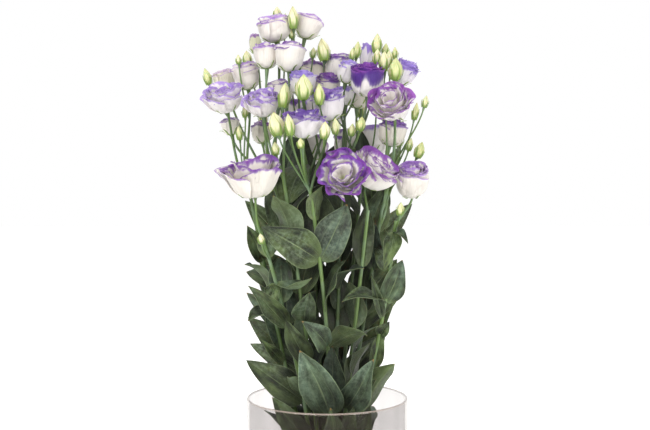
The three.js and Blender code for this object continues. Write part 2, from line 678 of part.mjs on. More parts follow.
// One bloom, in a single skin: bowl, each whorl's back and front, and the pointed middle
function makeBloom({ name, kind, width, tall, axis, base }) {
  const half = width / 2;
  const { bowl, point, whorls } = KINDS[kind];
  const points = [new THREE.Vector3(0, 0, 0)];
  const round = WHORL_PETALS * whorls[0].columns;
  let ring = Array.from({ length: round }, (_, step) => {
    const angle = (2 * Math.PI * step) / round;
    const radius = half * bowl[0];
    points.push(new THREE.Vector3(radius * Math.cos(angle), radius * Math.sin(angle), tall * bowl[1]));
    return points.length - 1;
  });
  const faces = ring.map((index, k) => [0, ring[(k + 1) % round], index]);
  for (const whorl of whorls) {
    const sheet = whorlSheet(whorl, half, tall);
    const skins = sheetSkins(sheet.points, sheet.faces, PETAL_THICKNESS, sheet.root.length);
    const first = points.length;
    points.push(...skins.back, ...skins.front);
    faces.push(...skins.faces.map((face) => face.map((index) => index + first)));
    faces.push(...ringStrip(ring, sheet.root.map((index) => index + first)));
    ring = sheet.root.map((index) => index + first + sheet.points.length);
  }
  points.push(new THREE.Vector3(0, 0, tall * point));
  faces.push(...ring.map((index, k) => [index, ring[(k + 1) % ring.length], points.length - 1]));
  const mesh = addMesh(bunch, name, solidFrom(points, faces), COLOURS.petals);
  mesh.position.copy(base);
  mesh.quaternion.setFromUnitVectors(UP, axis);
}

// A leaf blade's points: along from 0 at the stem to 1 at the tip, across from -1 to 1
function leafPoint({ base, tip, width, face, arch, fold }, along, across) {
  const chord = tip.clone().sub(base);
  const direction = chord.clone().normalize();
  const normal = face.clone().addScaledVector(direction, -face.dot(direction)).normalize();
  const side = direction.clone().cross(normal);
  const swell = (along + LEAF_STALK) ** LEAF_SWELL;
  const reach = LEAF_BREADTH * width * swell * (1 - along) ** LEAF_TAPER;
  const point = base.clone().addScaledVector(chord, along);
  point.addScaledVector(normal, arch * 4 * along * (1 - along) + fold * reach * Math.abs(across));
  return point.addScaledVector(side, reach * across);
}

// Points that stand for a leaf where room is tested
function leafRoom(leaf) {
  const points = [];
  for (const along of LEAF_TESTS_ALONG) {
    for (const across of LEAF_TESTS_ACROSS) points.push(leafPoint(leaf, along, across));
  }
  return points;
}

// A small leaf has four corners, and its skins meet there
function makeSmallLeaf(leaf) {
  const [left, middle, right] = [-1, 0, 1].map((across) => leafPoint(leaf, SMALL_LEAF_ROW, across));
  const normal = right.clone().sub(left).cross(leaf.tip.clone().sub(leaf.base));
  normal.setLength(LEAF_THICKNESS / 2);
  const over = middle.clone().add(normal);
  const under = middle.sub(normal);
  const points = [leaf.base, left, leaf.tip, right, over, under];
  const faces = [0, 1, 2, 3].flatMap((corner) => {
    const next = (corner + 1) % 4;
    return [[corner, next, 4], [next, corner, 5]];
  });
  return solidFrom(points, faces);
}

function makeLeaf(leaf) {
  if (!leaf.large) return makeSmallLeaf(leaf);
  const row = (along, places) => places.map((across) => leafPoint(leaf, along, across));
  const rows = LARGE_LEAF_ROWS.map((along) => row(along, [-1, 0, 1]));
  return blade([[leaf.base], row(LEAF_FIRST_ROW, [-1, 1]), ...rows, [leaf.tip]], LEAF_THICKNESS);
}

// Free distance of a leaf from other leaves and from all but its own stem
function leafClearance(leaf) {
  return clearance(leafRoom(leaf), LEAF_CLEARANCE, [leaf.stemName]);
}

function takeLeaf(leaf) {
  take(leafRoom(leaf), LEAF_CLEARANCE, "leaf");
}

// Where a leaf starts, sunk in its own side of the stem
function leafBase(stem, height, outward) {
  const out = new THREE.Vector3(outward.x, outward.y, 0).normalize();
  return stemPoint(stem, height).addScaledVector(out, LEAF_ROOT * stemRadius(stem, height));
}

// The leaf of the show side closest to its stated tip that is clear of the rest
function planShowLeaf([stemName, height, tip, width, turn, arch, fold]) {
  const stem = STEMS[stemName];
  const outward = vector(tip).sub(stemPoint(stem, height));
  const base = leafBase(stem, height, outward);
  const face = new THREE.Vector3(0, -turn, 1 - Math.abs(turn));
  let best = null;
  for (let attempt = 0; attempt < LEAF_TRIES; attempt += 1) {
    const angle = attempt * TRY_TURN;
    const [right, away, up] = LEAF_TRY_STEP.map((step) => step * Math.sqrt(attempt));
    const moved = vector(tip).add(
      new THREE.Vector3(right * Math.cos(angle), away * Math.sin(angle), up * Math.cos(angle * 2)),
    );
    const leaf = { stemName, base, tip: moved, width, face, arch, fold, large: width > LARGE_LEAF };
    const free = leafClearance(leaf);
    if (!best || free > best.free) best = { ...leaf, free };
    if (free > 0) break;
  }
  return best;
}

// A leaf that grows by rule. Returns nothing where no try is clear of the rest.
function planRuleLeaf(stemName, height, compass, random) {
  const stem = STEMS[stemName];
  const age = (height - LOWEST_PAIR) / (stem.top[2] - LOWEST_PAIR);
  const length = mix(...LEAF_LENGTH, age) * mix(...LEAF_VARIATION, random());
  const width = mix(...LEAF_WIDTH, age) * mix(...LEAF_VARIATION, random());
  const steep = mix(...LEAF_STEEP, random());
  const arch = mix(...LEAF_ARCH, random());
  for (let attempt = 0; attempt < LEAF_TRIES; attempt += 1) {
    const swing = (attempt % 2 ? 1 : -1) * LEAF_TRY_SWING * Math.ceil(attempt / 2);
    const rise = Math.min(steep + LEAF_TRY_RISE * attempt, STEEPEST_LEAF);
    const shrink = 1 - LEAF_TRY_SHRINK * attempt;
    const out = facing(90 - rise, compass + swing);
    const base = leafBase(stem, height, out);
    const tip = base.clone().addScaledVector(out, length * shrink);
    const face = new THREE.Vector3(-out.x, -out.y, 1);
    const form = { width: width * shrink, face, arch, fold: LEAF_FOLD, large: false };
    const leaf = { stemName, base, tip, ...form };
    if (Math.hypot(tip.x, tip.y) < LEAF_REACH && leafClearance(leaf) > 0) return leaf;
  }
  return null;
}

// Pairs of leaves up a stem, each pair a quarter turn from the last, less those whose
// place a leaf of the show side has
function planRuleLeaves(stemName, number) {
  const random = randomFrom(number);
  const stem = STEMS[stemName];
  const leaves = [];
  let turn = 360 * random();
  const first = LOWEST_PAIR + FIRST_PAIR_SPREAD * random();
  const last = stem.top[2] - 2 * ROOT_DEPTH;
  for (let height = first; height < last; height += PAIR_SPACING) {
    turn += PAIR_TURN + PAIR_SWING * (random() - 0.5);
    const near = (row) => row[0] === stemName && Math.abs(row[1] - height) < SHOWN_NEARBY;
    const shown = SHOW_LEAVES.filter(near);
    for (const side of [0, 180].slice(Math.min(shown.length, 2))) {
      const leaf = planRuleLeaf(stemName, height, turn + side, random);
      if (!leaf) continue;
      takeLeaf(leaf);
      leaves.push(leaf);
    }
  }
  return leaves;
}

// Plan: stems, then blooms and their stalks, buds, and leaves
const stemNames = Object.keys(STEMS);
for (const name of stemNames) {
  const stem = STEMS[name];
  for (let height = VASE_FLOOR; height < stem.top[2]; height += STEM_TEST_STEP) {
    take([stemPoint(stem, height)], stemRadius(stem, height), name);
  }
}
const blooms = BLOOMS.map(planBloom);
blooms.forEach(takeBloom);

for (const bloom of blooms) {
  const stem = STEMS[bloom.stemName];
  const height = Math.min(bloom.height, stem.top[2] - ROOT_DEPTH);
  const root = stemPoint(stem, height);
  const end = bloom.base.clone().addScaledVector(bloom.axis, -GAP);
  const owners = [bloom.name, bloom.stemName, `${bloom.stemName} stalks`];
  const start = stemDirection(stem, bloom.height);
  bloom.stalk = routeStalk(root, start, end, bloom.axis, BLOOM_STALK_RADIUS, owners);
  take(curvePoints(bloom.stalk, STALK_BALLS), BLOOM_STALK_RADIUS, `${bloom.stemName} stalks`);
}

// A place on the straight pieces of a bloom's stalk
function stalkPoint(stalk, share) {
  const step = Math.min(Math.floor(share * STALK_STEPS), STALK_STEPS - 1);
  const [low, high] = [step, step + 1].map((ring) => curvePoint(stalk, ring / STALK_STEPS));
  return low.lerp(high, share * STALK_STEPS - step);
}

const buds = BUDS.map(([parent, where, middle, width, length]) => {
  const bloom = blooms.find(({ name }) => name === parent);
  const stemName = bloom ? bloom.stemName : parent;
  const stem = STEMS[stemName];
  const height = Math.min(where, stem.top[2] - ROOT_DEPTH);
  const root = bloom ? stalkPoint(bloom.stalk, where) : stemPoint(stem, height);
  const start = bloom
    ? stalkPoint(bloom.stalk, where + 0.05).sub(root).normalize()
    : stemDirection(stem, height);
  const centre = vector(middle);
  const axis = centre.clone().sub(root).normalize().add(UP).normalize();
  const base = centre.clone().addScaledVector(axis, -length / 2);
  const owners = [stemName, `${stemName} stalks`];
  const stalk = routeStalk(root, start, base, axis, BUD_STALK_RADIUS, owners);
  take(curvePoints(stalk, STALK_BALLS), BUD_STALK_RADIUS, `${stemName} stalks`);
  take([centre], width * BUD_ROOM, `${stemName} stalks`);
  return { stemName, stalk, axis, base, width, length };
});

const leaves = SHOW_LEAVES.map((row) => {
  const leaf = planShowLeaf(row);
  takeLeaf(leaf);
  return leaf;
});
stemNames.forEach((name, index) => leaves.push(...planRuleLeaves(name, index + 1)));

// A bloom's stalk ends in a small cup that carries the bloom
function makeBloomStalk({ stalk, axis }) {
  const end = stalk[3];
  const line = [...curvePoints(stalk, STALK_STEPS).slice(0, -1)];
  line.push(end.clone().addScaledVector(axis, -NECK_LENGTH), end);
  const radii = line.map((_, i) => (i + 1 < line.length ? BLOOM_STALK_RADIUS : NECK_RADIUS));
  return rod(line, radii, STALK_SIDES);
}

// A bud and its stalk in one rod: stalk, green foot, belly and pointed tip
function makeBud({ stalk, axis, base, width, length }) {
  const line = curvePoints(stalk, 2);
  const radii = line.map(() => BUD_STALK_RADIUS);
  const small = width < SMALL_BUD;
  for (const [share, radius] of small ? SMALL_BUD_RINGS : BUD_RINGS) {
    line.push(base.clone().addScaledVector(axis, share * length));
    radii.push(radius * width);
  }
  return rod(line, radii, small ? STALK_SIDES : BUD_SIDES);
}

// One main stem with its side stems, buds and leaves
function makeStem(name) {
  const stem = STEMS[name];
  const heights = stemHeights(stem);
  const line = heights.map((height) => stemPoint(stem, height));
  const pieces = [rod(line, heights.map((height) => stemRadius(stem, height)), STEM_SIDES)];
  const own = ({ stemName }) => stemName === name;
  pieces.push(...blooms.filter(own).map(makeBloomStalk));
  pieces.push(...buds.filter(own).map(makeBud));
  pieces.push(...leaves.filter(own).map(makeLeaf));
  addMesh(bunch, name, fuse(pieces), COLOURS.foliage);
}

function latheSolid(profile, sides) {
  const outline = profile.map(([radius, height]) => new THREE.Vector2(radius, height));
  return solidFromGeometry(new THREE.LatheGeometry(outline, sides).rotateX(Math.PI / 2));
}

function makeVase() {
  const inner = VASE_RADIUS - VASE_WALL;
  return latheSolid([
    [0, 0], [VASE_RADIUS, 0], [VASE_RADIUS, VASE_HEIGHT],
    [inner, VASE_HEIGHT], [inner, VASE_FLOOR], [0, VASE_FLOOR],
  ], VASE_SIDES);
}

// Water, with a plain hole for each stem
function makeWater() {
  const radius = VASE_RADIUS - VASE_WALL - GAP;
  const bottom = VASE_FLOOR + GAP;
  const profile = [[0, bottom], [radius, bottom], [radius, WATER_LEVEL], [0, WATER_LEVEL]];
  return stemNames.reduce((water, name) => {
    const stem = STEMS[name];
    const ends = [bottom - HOLE_OVERRUN, WATER_LEVEL + HOLE_OVERRUN];
    const line = ends.map((height) => stemPoint(stem, height));
    return water.subtract(rod(line, line.map(() => STEM_FOOT_RADIUS + GAP), STEM_SIDES));
  }, latheSolid(profile, VASE_SIDES));
}

function makeBand() {
  const high = BAND_HEIGHT - 1;
  const low = high - BAND_WIDTH;
  const ring = OUTER_RING * mix(FOOT_SPREAD, 1, low / BAND_HEIGHT);
  const inner = (ring + STEM_FOOT_RADIUS) / Math.cos(Math.PI / BAND_SIDES);
  const outer = inner + BAND_THICKNESS;
  const profile = [[inner, low], [outer, low], [outer, high], [inner, high], [inner, low]];
  return latheSolid(profile, BAND_SIDES);
}

const bunch = new THREE.Group();
addMesh(bunch, "vase", makeVase(), COLOURS.vase);
addMesh(bunch, "water", makeWater(), COLOURS.water);
addMesh(bunch, "band", makeBand(), COLOURS.band);
stemNames.forEach(makeStem);
blooms.forEach(makeBloom);

export default bunch;
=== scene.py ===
import math

import bpy
import numpy as np
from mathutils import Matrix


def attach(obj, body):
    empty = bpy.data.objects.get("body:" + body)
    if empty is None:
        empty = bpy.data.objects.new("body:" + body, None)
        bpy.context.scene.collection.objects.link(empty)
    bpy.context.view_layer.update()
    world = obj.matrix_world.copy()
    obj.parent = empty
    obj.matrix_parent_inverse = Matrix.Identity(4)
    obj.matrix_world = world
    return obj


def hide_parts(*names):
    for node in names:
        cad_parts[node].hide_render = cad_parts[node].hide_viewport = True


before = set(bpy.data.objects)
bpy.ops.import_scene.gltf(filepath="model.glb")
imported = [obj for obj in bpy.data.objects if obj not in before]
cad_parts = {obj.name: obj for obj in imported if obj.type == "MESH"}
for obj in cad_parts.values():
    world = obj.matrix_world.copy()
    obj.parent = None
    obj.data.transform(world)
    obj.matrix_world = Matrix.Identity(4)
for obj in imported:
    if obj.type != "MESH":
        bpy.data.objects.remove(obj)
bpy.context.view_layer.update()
MM = 0.001

# Camera: where it stands and its lens. The photograph's horizon is at its middle height.
CAMERA_PLACE = (-2.7, -1069, 514.6)
CAMERA_LENS = 50
SENSOR_WIDTH = 36

# Studio in metres and watts: name, place, size and power of each lamp. They all aim at one point.
LAMPS = (
    ("key", (-1.1, -1.7, 1.6), (1.1, 1.1), 27),
    ("fill", (1.5, -1.6, 0.9), (1.1, 1.5), 20),
    ("front", (-0.15, -2.2, 0.95), (1.3, 1.3), 17),
    ("top", (0.2, 0.5, 2.2), (1.4, 1.0), 20),
    ("back", (-0.5, 1.9, 1.7), (1.2, 1.0), 13),
)
LAMP_TARGET = (0, 0, 0.5)
LAMP_COLOUR = (1.0, 0.975, 0.94)
SOFT_LIGHT = 0.54
FLOOR_RADIUS = 40
FLOOR_SIDES = 96
FLOOR_GLOW = 0.3

# Glass cylinder, water and band
VASE_RADIUS = 95
VASE_HEIGHT = 300
VASE_WALL = 3
VASE_FLOOR = 9
VASE_SIDES = 144
RIM_STEPS = 9
FOOT_ROUNDING = 2
CORNER = 4
WATER_LEVEL = 150
BAND_HEIGHT = 178
BAND_WIDTH = 6
BAND_THICKNESS = 1.6
BAND_SIDES = 64
GAP = 0.3

# Main stems
INNER_RING = 4.9
OUTER_RING = 11.8
FOOT_SPREAD = 1.5
STEM_FOOT_RADIUS = 2.9
STEM_TOP_RADIUS = 2.0

# Side stems
BLOOM_STALK_RADIUS = 1.35
BUD_STALK_RADIUS = 1.0
STALK_STEPS = 3
STALK_SPLAY = 0.45
ROOT_DEPTH = 6
NECK_RADIUS = 2.6

# Leaves that grow by rule, as in the solids
LEAF_FOLD = 0.22
LEAF_ROOT = 0.5
LOWEST_PAIR = 212
PAIR_SPACING = 26
FIRST_PAIR_SPREAD = 24
PAIR_TURN = 90
PAIR_SWING = 20
SHOWN_NEARBY = 16
LEAF_LENGTH = (88, 66)
LEAF_WIDTH = (50, 38)
LEAF_VARIATION = (0.85, 1.1)
LEAF_STEEP = (32, 58)
LEAF_ARCH = (4, 9)

# How a stalk or leaf is moved from try to try until it is clear of the rest
TRY_TURN = 2.4
STALK_TRIES = 28
STALK_TRY_STEP = 3.4
STALK_CLEARANCE = 0.8
STALK_PULL = (0.35, 0.3)
LEAF_TRIES = 24
LEAF_TRY_STEP = (1.8, 2.6, 1.3)
LEAF_CLEARANCE = 3.2
LEAF_TRY_SWING = 9
LEAF_TRY_RISE = 2.4
LEAF_TRY_SHRINK = 0.02
STEEPEST_LEAF = 78
LEAF_REACH = 90
FAR_ENOUGH = 5

# Height of each kind of bloom as a share of its width
TALL = {"open": 0.7, "wide": 0.7, "bell": 0.82, "cup": 1.08, "plain": 1.08, "slim": 1.75}

# Stems: ring slot angle in degrees, ring, top (right, away, up) and sideways bow
STEMS = {
    "stem_01": (-144, OUTER_RING, (-75, -57, 497), (8, 0)),
    "stem_02": (-108, OUTER_RING, (-50, -55, 560), (3, 0)),
    "stem_03": (-72, OUTER_RING, (-20, -64, 545), (9, -5)),
    "stem_04": (-36, OUTER_RING, (46, -50, 520), (0, 0)),
    "stem_05": (0, OUTER_RING, (79, -28, 508), (9, 0)),
    "stem_06": (36, OUTER_RING, (65, -8, 526), (0, 4)),
    "stem_07": (180, OUTER_RING, (-92, -5, 545), (-3, 0)),
    "stem_08": (180, INNER_RING, (-60, 12, 560), (-2, 0)),
    "stem_09": (90, INNER_RING, (-22, 20, 570), (0, 0)),
    "stem_10": (-90, INNER_RING, (15, -12, 570), (4, -5)),
    "stem_11": (0, INNER_RING, (42, 18, 565), (0, 0)),
    "stem_12": (108, OUTER_RING, (2, 58, 555), (0, 6)),
    "stem_13": (144, OUTER_RING, (-58, 50, 545), (0, 6)),
    "stem_14": (72, OUTER_RING, (60, 50, 545), (0, 6)),
}

# Blooms: kind, number of their stem, height of the branch on it, middle of the rim, width
# across, degrees off upright, compass angle they lean towards, look, and how ruffled their
# rims are
BLOOMS = [
    ("bloom_01", "bell", 8, 560, (-66, -5, 748), 36, 12, 200, "lilac_trace", 0.05),
    ("bloom_02", "cup", 9, 570, (-21, 10, 754), 27, 12, 0, "lilac_trace", 0.05),
    ("bloom_03", "slim", 8, 560, (-90, 40, 737), 14, 8, 180, "cream_tip", 0.02),
    ("bloom_04", "cup", 8, 530, (-73, -20, 713), 26, 6, 200, "lilac_trace", 0.05),
    ("bloom_05", "cup", 2, 560, (-44, -32, 712), 30, 6, -90, "violet_line", 0.05),
    ("bloom_06", "cup", 7, 545, (-99, 5, 695), 29, 10, 200, "lilac_trace", 0.05),
    ("bloom_07", "plain", 13, 530, (-129, 38, 691), 24, 15, 180, "cream", 0.04),
    ("bloom_08", "open", 7, 545, (-122, -30, 663), 44, 30, -110, "lilac_soft", 0.06),
    ("bloom_09", "open", 2, 560, (-74, -55, 653), 40, 26, -100, "lilac_soft", 0.06),
    ("bloom_10", "plain", 9, 540, (-58, -8, 671), 26, 10, 150, "violet_line", 0.06),
    ("bloom_11", "cup", 3, 545, (-29, -43, 678), 26, 6, -120, "lilac_blue", 0.07),
    ("bloom_12", "plain", 12, 555, (-18, 50, 703), 32, 8, 90, "dark_rim", 0.06),
    ("bloom_13", "cup", 11, 565, (13, 36, 711), 30, 6, 60, "violet_rim", 0.08),
    ("bloom_14", "cup", 10, 570, (27, -14, 693), 23, 14, -10, "lilac_blue", 0.08),
    ("bloom_15", "cup", 9, 570, (1, 8, 683), 24, 20, -90, "violet_band", 0.05),
    ("bloom_16", "cup", 10, 560, (45, -38, 687), 34, 14, -95, "deep_violet", 0.09),
    ("bloom_17", "slim", 14, 545, (51, 60, 727), 17, 6, 60, "lilac_deep", 0.05),
    ("bloom_18", "cup", 6, 526, (96, 0, 696), 26, 24, -25, "lilac_deep", 0.08),
    ("bloom_19", "open", 6, 526, (68, -70, 648), 45, 56, -105, "magenta_band", 0.05),
    ("bloom_20", "cup", 3, 545, (0, -50, 656), 32, 12, -100, "violet_ruffle", 0.1),
    ("bloom_21", "plain", 10, 570, (24, 4, 667), 20, 10, -60, "lilac_blue", 0.05),
    ("bloom_22", "plain", 11, 565, (39, 30, 670), 24, 8, 40, "dark_rim", 0.04),
    ("bloom_23", "open", 3, 545, (-27, -79, 630), 44, 14, -90, "violet_ruffle", 0.1),
    ("bloom_24", "plain", 13, 545, (-118, 15, 631), 19, 10, 190, "violet_line", 0.05),
    ("bloom_25", "plain", 13, 545, (-82, 50, 628), 23, 12, 120, "dark_rim", 0.06),
    ("bloom_26", "open", 1, 520, (-84, -76, 577), 62, 14, -110, "violet_patch", 0.07),
    ("bloom_27", "open", 10, 500, (17, -88, 563), 49, 72, -92, "magenta_wide", 0.08),
    ("bloom_28", "open", 4, 520, (63, -53, 577), 52, 42, -42, "magenta_band", 0.08),
    ("bloom_29", "cup", 5, 537, (96, -31, 571), 36, 30, -100, "lilac_trace", 0.05),
    ("bloom_30", "plain", 6, 500, (79, -5, 627), 29, 12, -30, "violet_band", 0.05),
    ("bloom_31", "plain", 12, 555, (26, 50, 618), 32, 10, 70, "violet_rim", 0.06),
    ("bloom_32", "wide", 12, 540, (-25, 74, 606), 44, 45, 95, "magenta_band", 0.07),
    ("bloom_33", "plain", 14, 545, (62, 70, 623), 34, 25, 70, "lilac_soft", 0.06),
    ("bloom_34", "wide", 12, 555, (-3, 88, 655), 50, 50, 90, "lilac_soft", 0.07),
    ("bloom_35", "plain", 13, 545, (-53, 75, 654), 40, 25, 110, "violet_rim", 0.06),
    ("bloom_36", "plain", 14, 545, (88, 55, 665), 34, 20, 40, "lilac_blue", 0.06),
]

# Buds: stem or bloom they branch from, height on the stem or share of the bloom's stalk,
# middle, width and length
BUDS = [
    ("bloom_01", 0.55, (-60, 12, 756), 10, 16),
    ("bloom_01", 0.45, (-51, 22, 752), 7, 13),
    ("bloom_02", 0.5, (-40, -12, 746), 12, 26),
    ("bloom_02", 0.3, (-42, 0, 730), 7, 12),
    ("bloom_04", 0.5, (-97, 26, 705), 11, 19),
    ("bloom_06", 0.7, (-104, -12, 697), 6, 11),
    ("bloom_07", 0.6, (-145, 20, 682), 9, 20),
    ("bloom_13", 0.5, (-5, 18, 714), 15, 27),
    ("bloom_02", 0.4, (-17, 28, 712), 7, 13),
    ("bloom_13", 0.6, (36, 12, 713), 9, 19),
    ("bloom_14", 0.6, (30, 8, 707), 7, 14),
    ("stem_11", 565, (60, 20, 722), 12, 23),
    ("bloom_17", 0.5, (71, 32, 717), 8, 14),
    ("bloom_18", 0.5, (82, 24, 711), 7, 14),
    ("bloom_16", 0.55, (58, -14, 700), 9, 18),
    ("stem_06", 520, (66, -24, 693), 12, 23),
    ("bloom_18", 0.6, (74, 8, 703), 8, 17),
    ("bloom_19", 0.4, (78, -36, 682), 16, 25),
    ("bloom_09", 0.4, (-48, -66, 648), 13, 27),
    ("bloom_05", 0.45, (-47, -53, 655), 8, 18),
    ("bloom_11", 0.66, (-26, -84, 655), 18, 27),
    ("bloom_20", 0.5, (-9, -76, 648), 11, 23),
    ("stem_03", 545, (-56, -86, 614), 17, 26),
    ("stem_03", 545, (-41, -100, 612), 10, 23),
    ("bloom_20", 0.4, (-3, -92, 607), 11, 19),
    ("stem_10", 560, (9, -62, 614), 9, 18),
    ("bloom_23", 0.3, (-29, -102, 592), 7, 11),
    ("stem_10", 560, (28, -40, 612), 8, 14),
    ("stem_10", 556, (38, -50, 618), 10, 16),
    ("bloom_18", 0.3, (103, -15, 636), 7, 20),
    ("bloom_18", 0.35, (115, -10, 648), 7, 14),
    ("bloom_18", 0.2, (97, -8, 598), 7, 15),
    ("bloom_18", 0.15, (108, -14, 591), 11, 19),
    ("stem_02", 545, (-58, -62, 589), 9, 14),
    ("stem_07", 530, (-102, -22, 610), 7, 16),
    ("stem_07", 540, (-96, -14, 637), 7, 16),
    ("stem_01", 462, (-73, -78, 489), 7, 12),
    ("stem_05", 494, (82, -56, 522), 8, 15),
    ("bloom_17", 0.4, (34, 84, 690), 12, 24),
    ("stem_12", 540, (-22, 104, 628), 10, 20),
    ("stem_13", 545, (-82, 84, 640), 11, 22),
    ("stem_14", 545, (42, 88, 652), 12, 24),
    ("stem_14", 530, (92, 76, 610), 10, 19),
]

# Leaves of the show side: number of their stem, height, tip, width, turn of the face, arch
# and fold
SHOW_LEAVES = [
    (3, 464, (-70, -88, 502), 40, 0.85, 5, 0.12),
    (3, 464, (20, -74, 530), 40, 0.9, 5, 0.12),
    (1, 437, (-17, -86, 446), 25, 0.3, -9, 0.6),
    (1, 437, (-64, -72, 414), 18, 0.6, 6, 0.3),
    (1, 389, (-84, -80, 442), 23, 0.7, 4, 0.35),
    (7, 390, (-88, -64, 398), 29, 0.35, 6, 0.5),
    (2, 392, (-20, -66, 428), 28, 0.9, 4, 0.25),
    (7, 460, (-92, -32, 502), 22, 0.7, 4, 0.3),
    (7, 425, (-92, -38, 460), 24, 0.3, 7, 0.6),
    (8, 490, (-70, -14, 547), 23, 1, 3, 0.2),
    (9, 490, (-32, -8, 548), 22, 1, 3, 0.2),
    (2, 345, (-49, -52, 396), 25, 0.9, 4, 0.2),
    (7, 340, (-76, -22, 370), 14, 0.8, 3, 0.3),
    (1, 300, (-92, -46, 350), 35, 0.7, 8, 0.25),
    (2, 300, (-42, -74, 345), 21, -0.8, 5, 0.2),
    (3, 283, (-30, -92, 368), 44, 0.85, 5, 0.15),
    (3, 365, (44, -86, 386), 26, -0.6, 7, 0.3),
    (3, 365, (-26, -88, 404), 26, 0.8, 5, 0.2),
    (4, 290, (50, -76, 354), 34, 0.8, 6, 0.3),
    (3, 300, (6, -62, 372), 30, 0.9, 4, 0.2),
    (6, 290, (54, -40, 326), 20, 0.8, 3, 0.3),
    (5, 285, (72, -42, 342), 30, -0.5, 6, 0.7),
    (5, 335, (64, -14, 380), 17, 0.9, 3, 0.3),
    (5, 372, (70, -8, 396), 15, 0.7, 4, 0.3),
    (5, 413, (18, -78, 424), 21, 0.4, 6, 0.35),
    (10, 430, (40, -62, 456), 28, 0.5, 6, 0.4),
    (4, 456, (45, -30, 528), 25, 0.95, 3, 0.2),
    (6, 450, (56, -18, 505), 22, 0.9, 3, 0.3),
    (6, 495, (70, -4, 540), 17, -0.8, 4, 0.3),
    (5, 494, (64, -62, 456), 20, 0.9, 5, 0.3),
    (5, 494, (86, -40, 482), 12, 0.5, 8, 0.3),
    (5, 450, (54, -16, 480), 18, 0.8, 4, 0.3),
    (5, 413, (86, -24, 464), 28, 0.8, 4, 0.3),
    (5, 395, (44, -60, 444), 12, 0.7, 5, 0.3),
    (1, 250, (-62, -54, 312), 28, 0.8, 4, 0.25),
    (4, 232, (4, -66, 298), 36, 0.85, 4, 0.2),
    (4, 238, (30, -52, 300), 26, 0.85, 4, 0.2),
    (5, 240, (50, -42, 298), 24, 0.8, 4, 0.3),
]

# Leaves behind those, with a turn, arch and fold in common
BACK_LEAF = (0.9, 4, 0.2)
BACK_LEAVES = [
    (13, 430, (-88, 30, 475), 30),
    (8, 405, (-84, 22, 436), 27),
    (12, 428, (30, 40, 470), 30),
    (12, 428, (-34, 52, 468), 30),
    (14, 400, (86, 44, 460), 32),
    (14, 355, (82, 30, 410), 30),
    (11, 358, (36, 34, 414), 30),
    (14, 316, (70, 22, 374), 30),
    (13, 340, (-94, 8, 392), 32),
    (13, 500, (-30, 62, 562), 28),
    (13, 480, (-100, 30, 532), 28),
    (13, 465, (-20, 48, 528), 26),
    (14, 470, (12, 44, 536), 29),
    (14, 505, (72, 52, 558), 26),
    (14, 480, (98, 42, 528), 28),
    (11, 415, (54, 28, 462), 27),
    (11, 400, (4, 24, 446), 28),
    (12, 365, (16, 48, 434), 28),
    (11, 380, (82, 16, 416), 26),
    (13, 310, (-8, 30, 380), 27),
    (12, 318, (34, 34, 382), 30),
    (13, 372, (-98, 30, 420), 28),
    (8, 325, (-92, 2, 366), 28),
    (8, 430, (-99, 26, 452), 28),
    (12, 526, (-34, 58, 580), 26),
    (12, 530, (28, 78, 590), 26),
    (13, 528, (-34, 56, 608), 26),
    (13, 528, (-84, 66, 590), 26),
    (14, 528, (44, 62, 600), 26),
    (14, 528, (84, 60, 596), 24),
    (9, 552, (-32, 38, 624), 24),
    (11, 548, (40, 34, 622), 24),
    (9, 540, (6, 34, 604), 26),
    (8, 545, (-46, 30, 618), 24),
]
PLACED_LEAVES = SHOW_LEAVES + [(*row, *BACK_LEAF) for row in BACK_LEAVES]

# Petal looks: body colour, edge colour, width of the coloured edge on the outermost and on
# the innermost petals as shares of a petal's length, share of that width that shows on a
# petal's outer face, how streaked the edge is, how much its width changes along the rim,
# and how much of the edge colour hazes the rest
LOOKS = {
    "cream": ("#e8e2ce", "#b493c4", 0.04, 0.04, 0.6, 0.02, 0.8, 0.0),
    "cream_tip": ("#e0dfbc", "#80549c", 0.07, 0.06, 1.0, 0.02, 0.5, 0.0),
    "lilac_trace": ("#ece5dd", "#8a5cb8", 0.06, 0.14, 0.5, 0.02, 0.9, 0.02),
    "lilac_soft": ("#ece6e4", "#9070c8", 0.12, 0.16, 0.5, 0.04, 0.8, 0.05),
    "lilac_blue": ("#ebe6e7", "#8068c4", 0.15, 0.28, 0.5, 0.05, 0.7, 0.08),
    "lilac_deep": ("#e4dde6", "#7a5fb8", 0.28, 0.5, 0.7, 0.12, 0.5, 0.18),
    "violet_line": ("#ebe5dd", "#5c2a8c", 0.055, 0.1, 0.6, 0.02, 0.8, 0.0),
    "violet_rim": ("#e9e3df", "#5e2f94", 0.12, 0.22, 0.6, 0.05, 0.7, 0.03),
    "violet_band": ("#e7e0d5", "#5a288e", 0.12, 0.22, 0.6, 0.03, 0.4, 0.01),
    "violet_patch": ("#e6dfd6", "#642994", 0.1, 0.09, 0.75, 0.04, 1.5, 0.0),
    "violet_ruffle": ("#ebe5e9", "#58349a", 0.13, 0.34, 0.5, 0.07, 0.6, 0.1),
    "dark_rim": ("#e4dcd0", "#4a2074", 0.11, 0.2, 0.6, 0.04, 0.8, 0.0),
    "deep_violet": ("#eae4e3", "#3f1b78", 0.3, 0.6, 0.9, 0.1, 0.3, 0.1),
    "magenta_band": ("#f1ebe6", "#692690", 0.15, 0.07, 0.5, 0.05, 0.8, 0.01),
    "magenta_wide": ("#f1ebe7", "#5d2290", 0.22, 0.08, 0.6, 0.06, 0.6, 0.01),
}

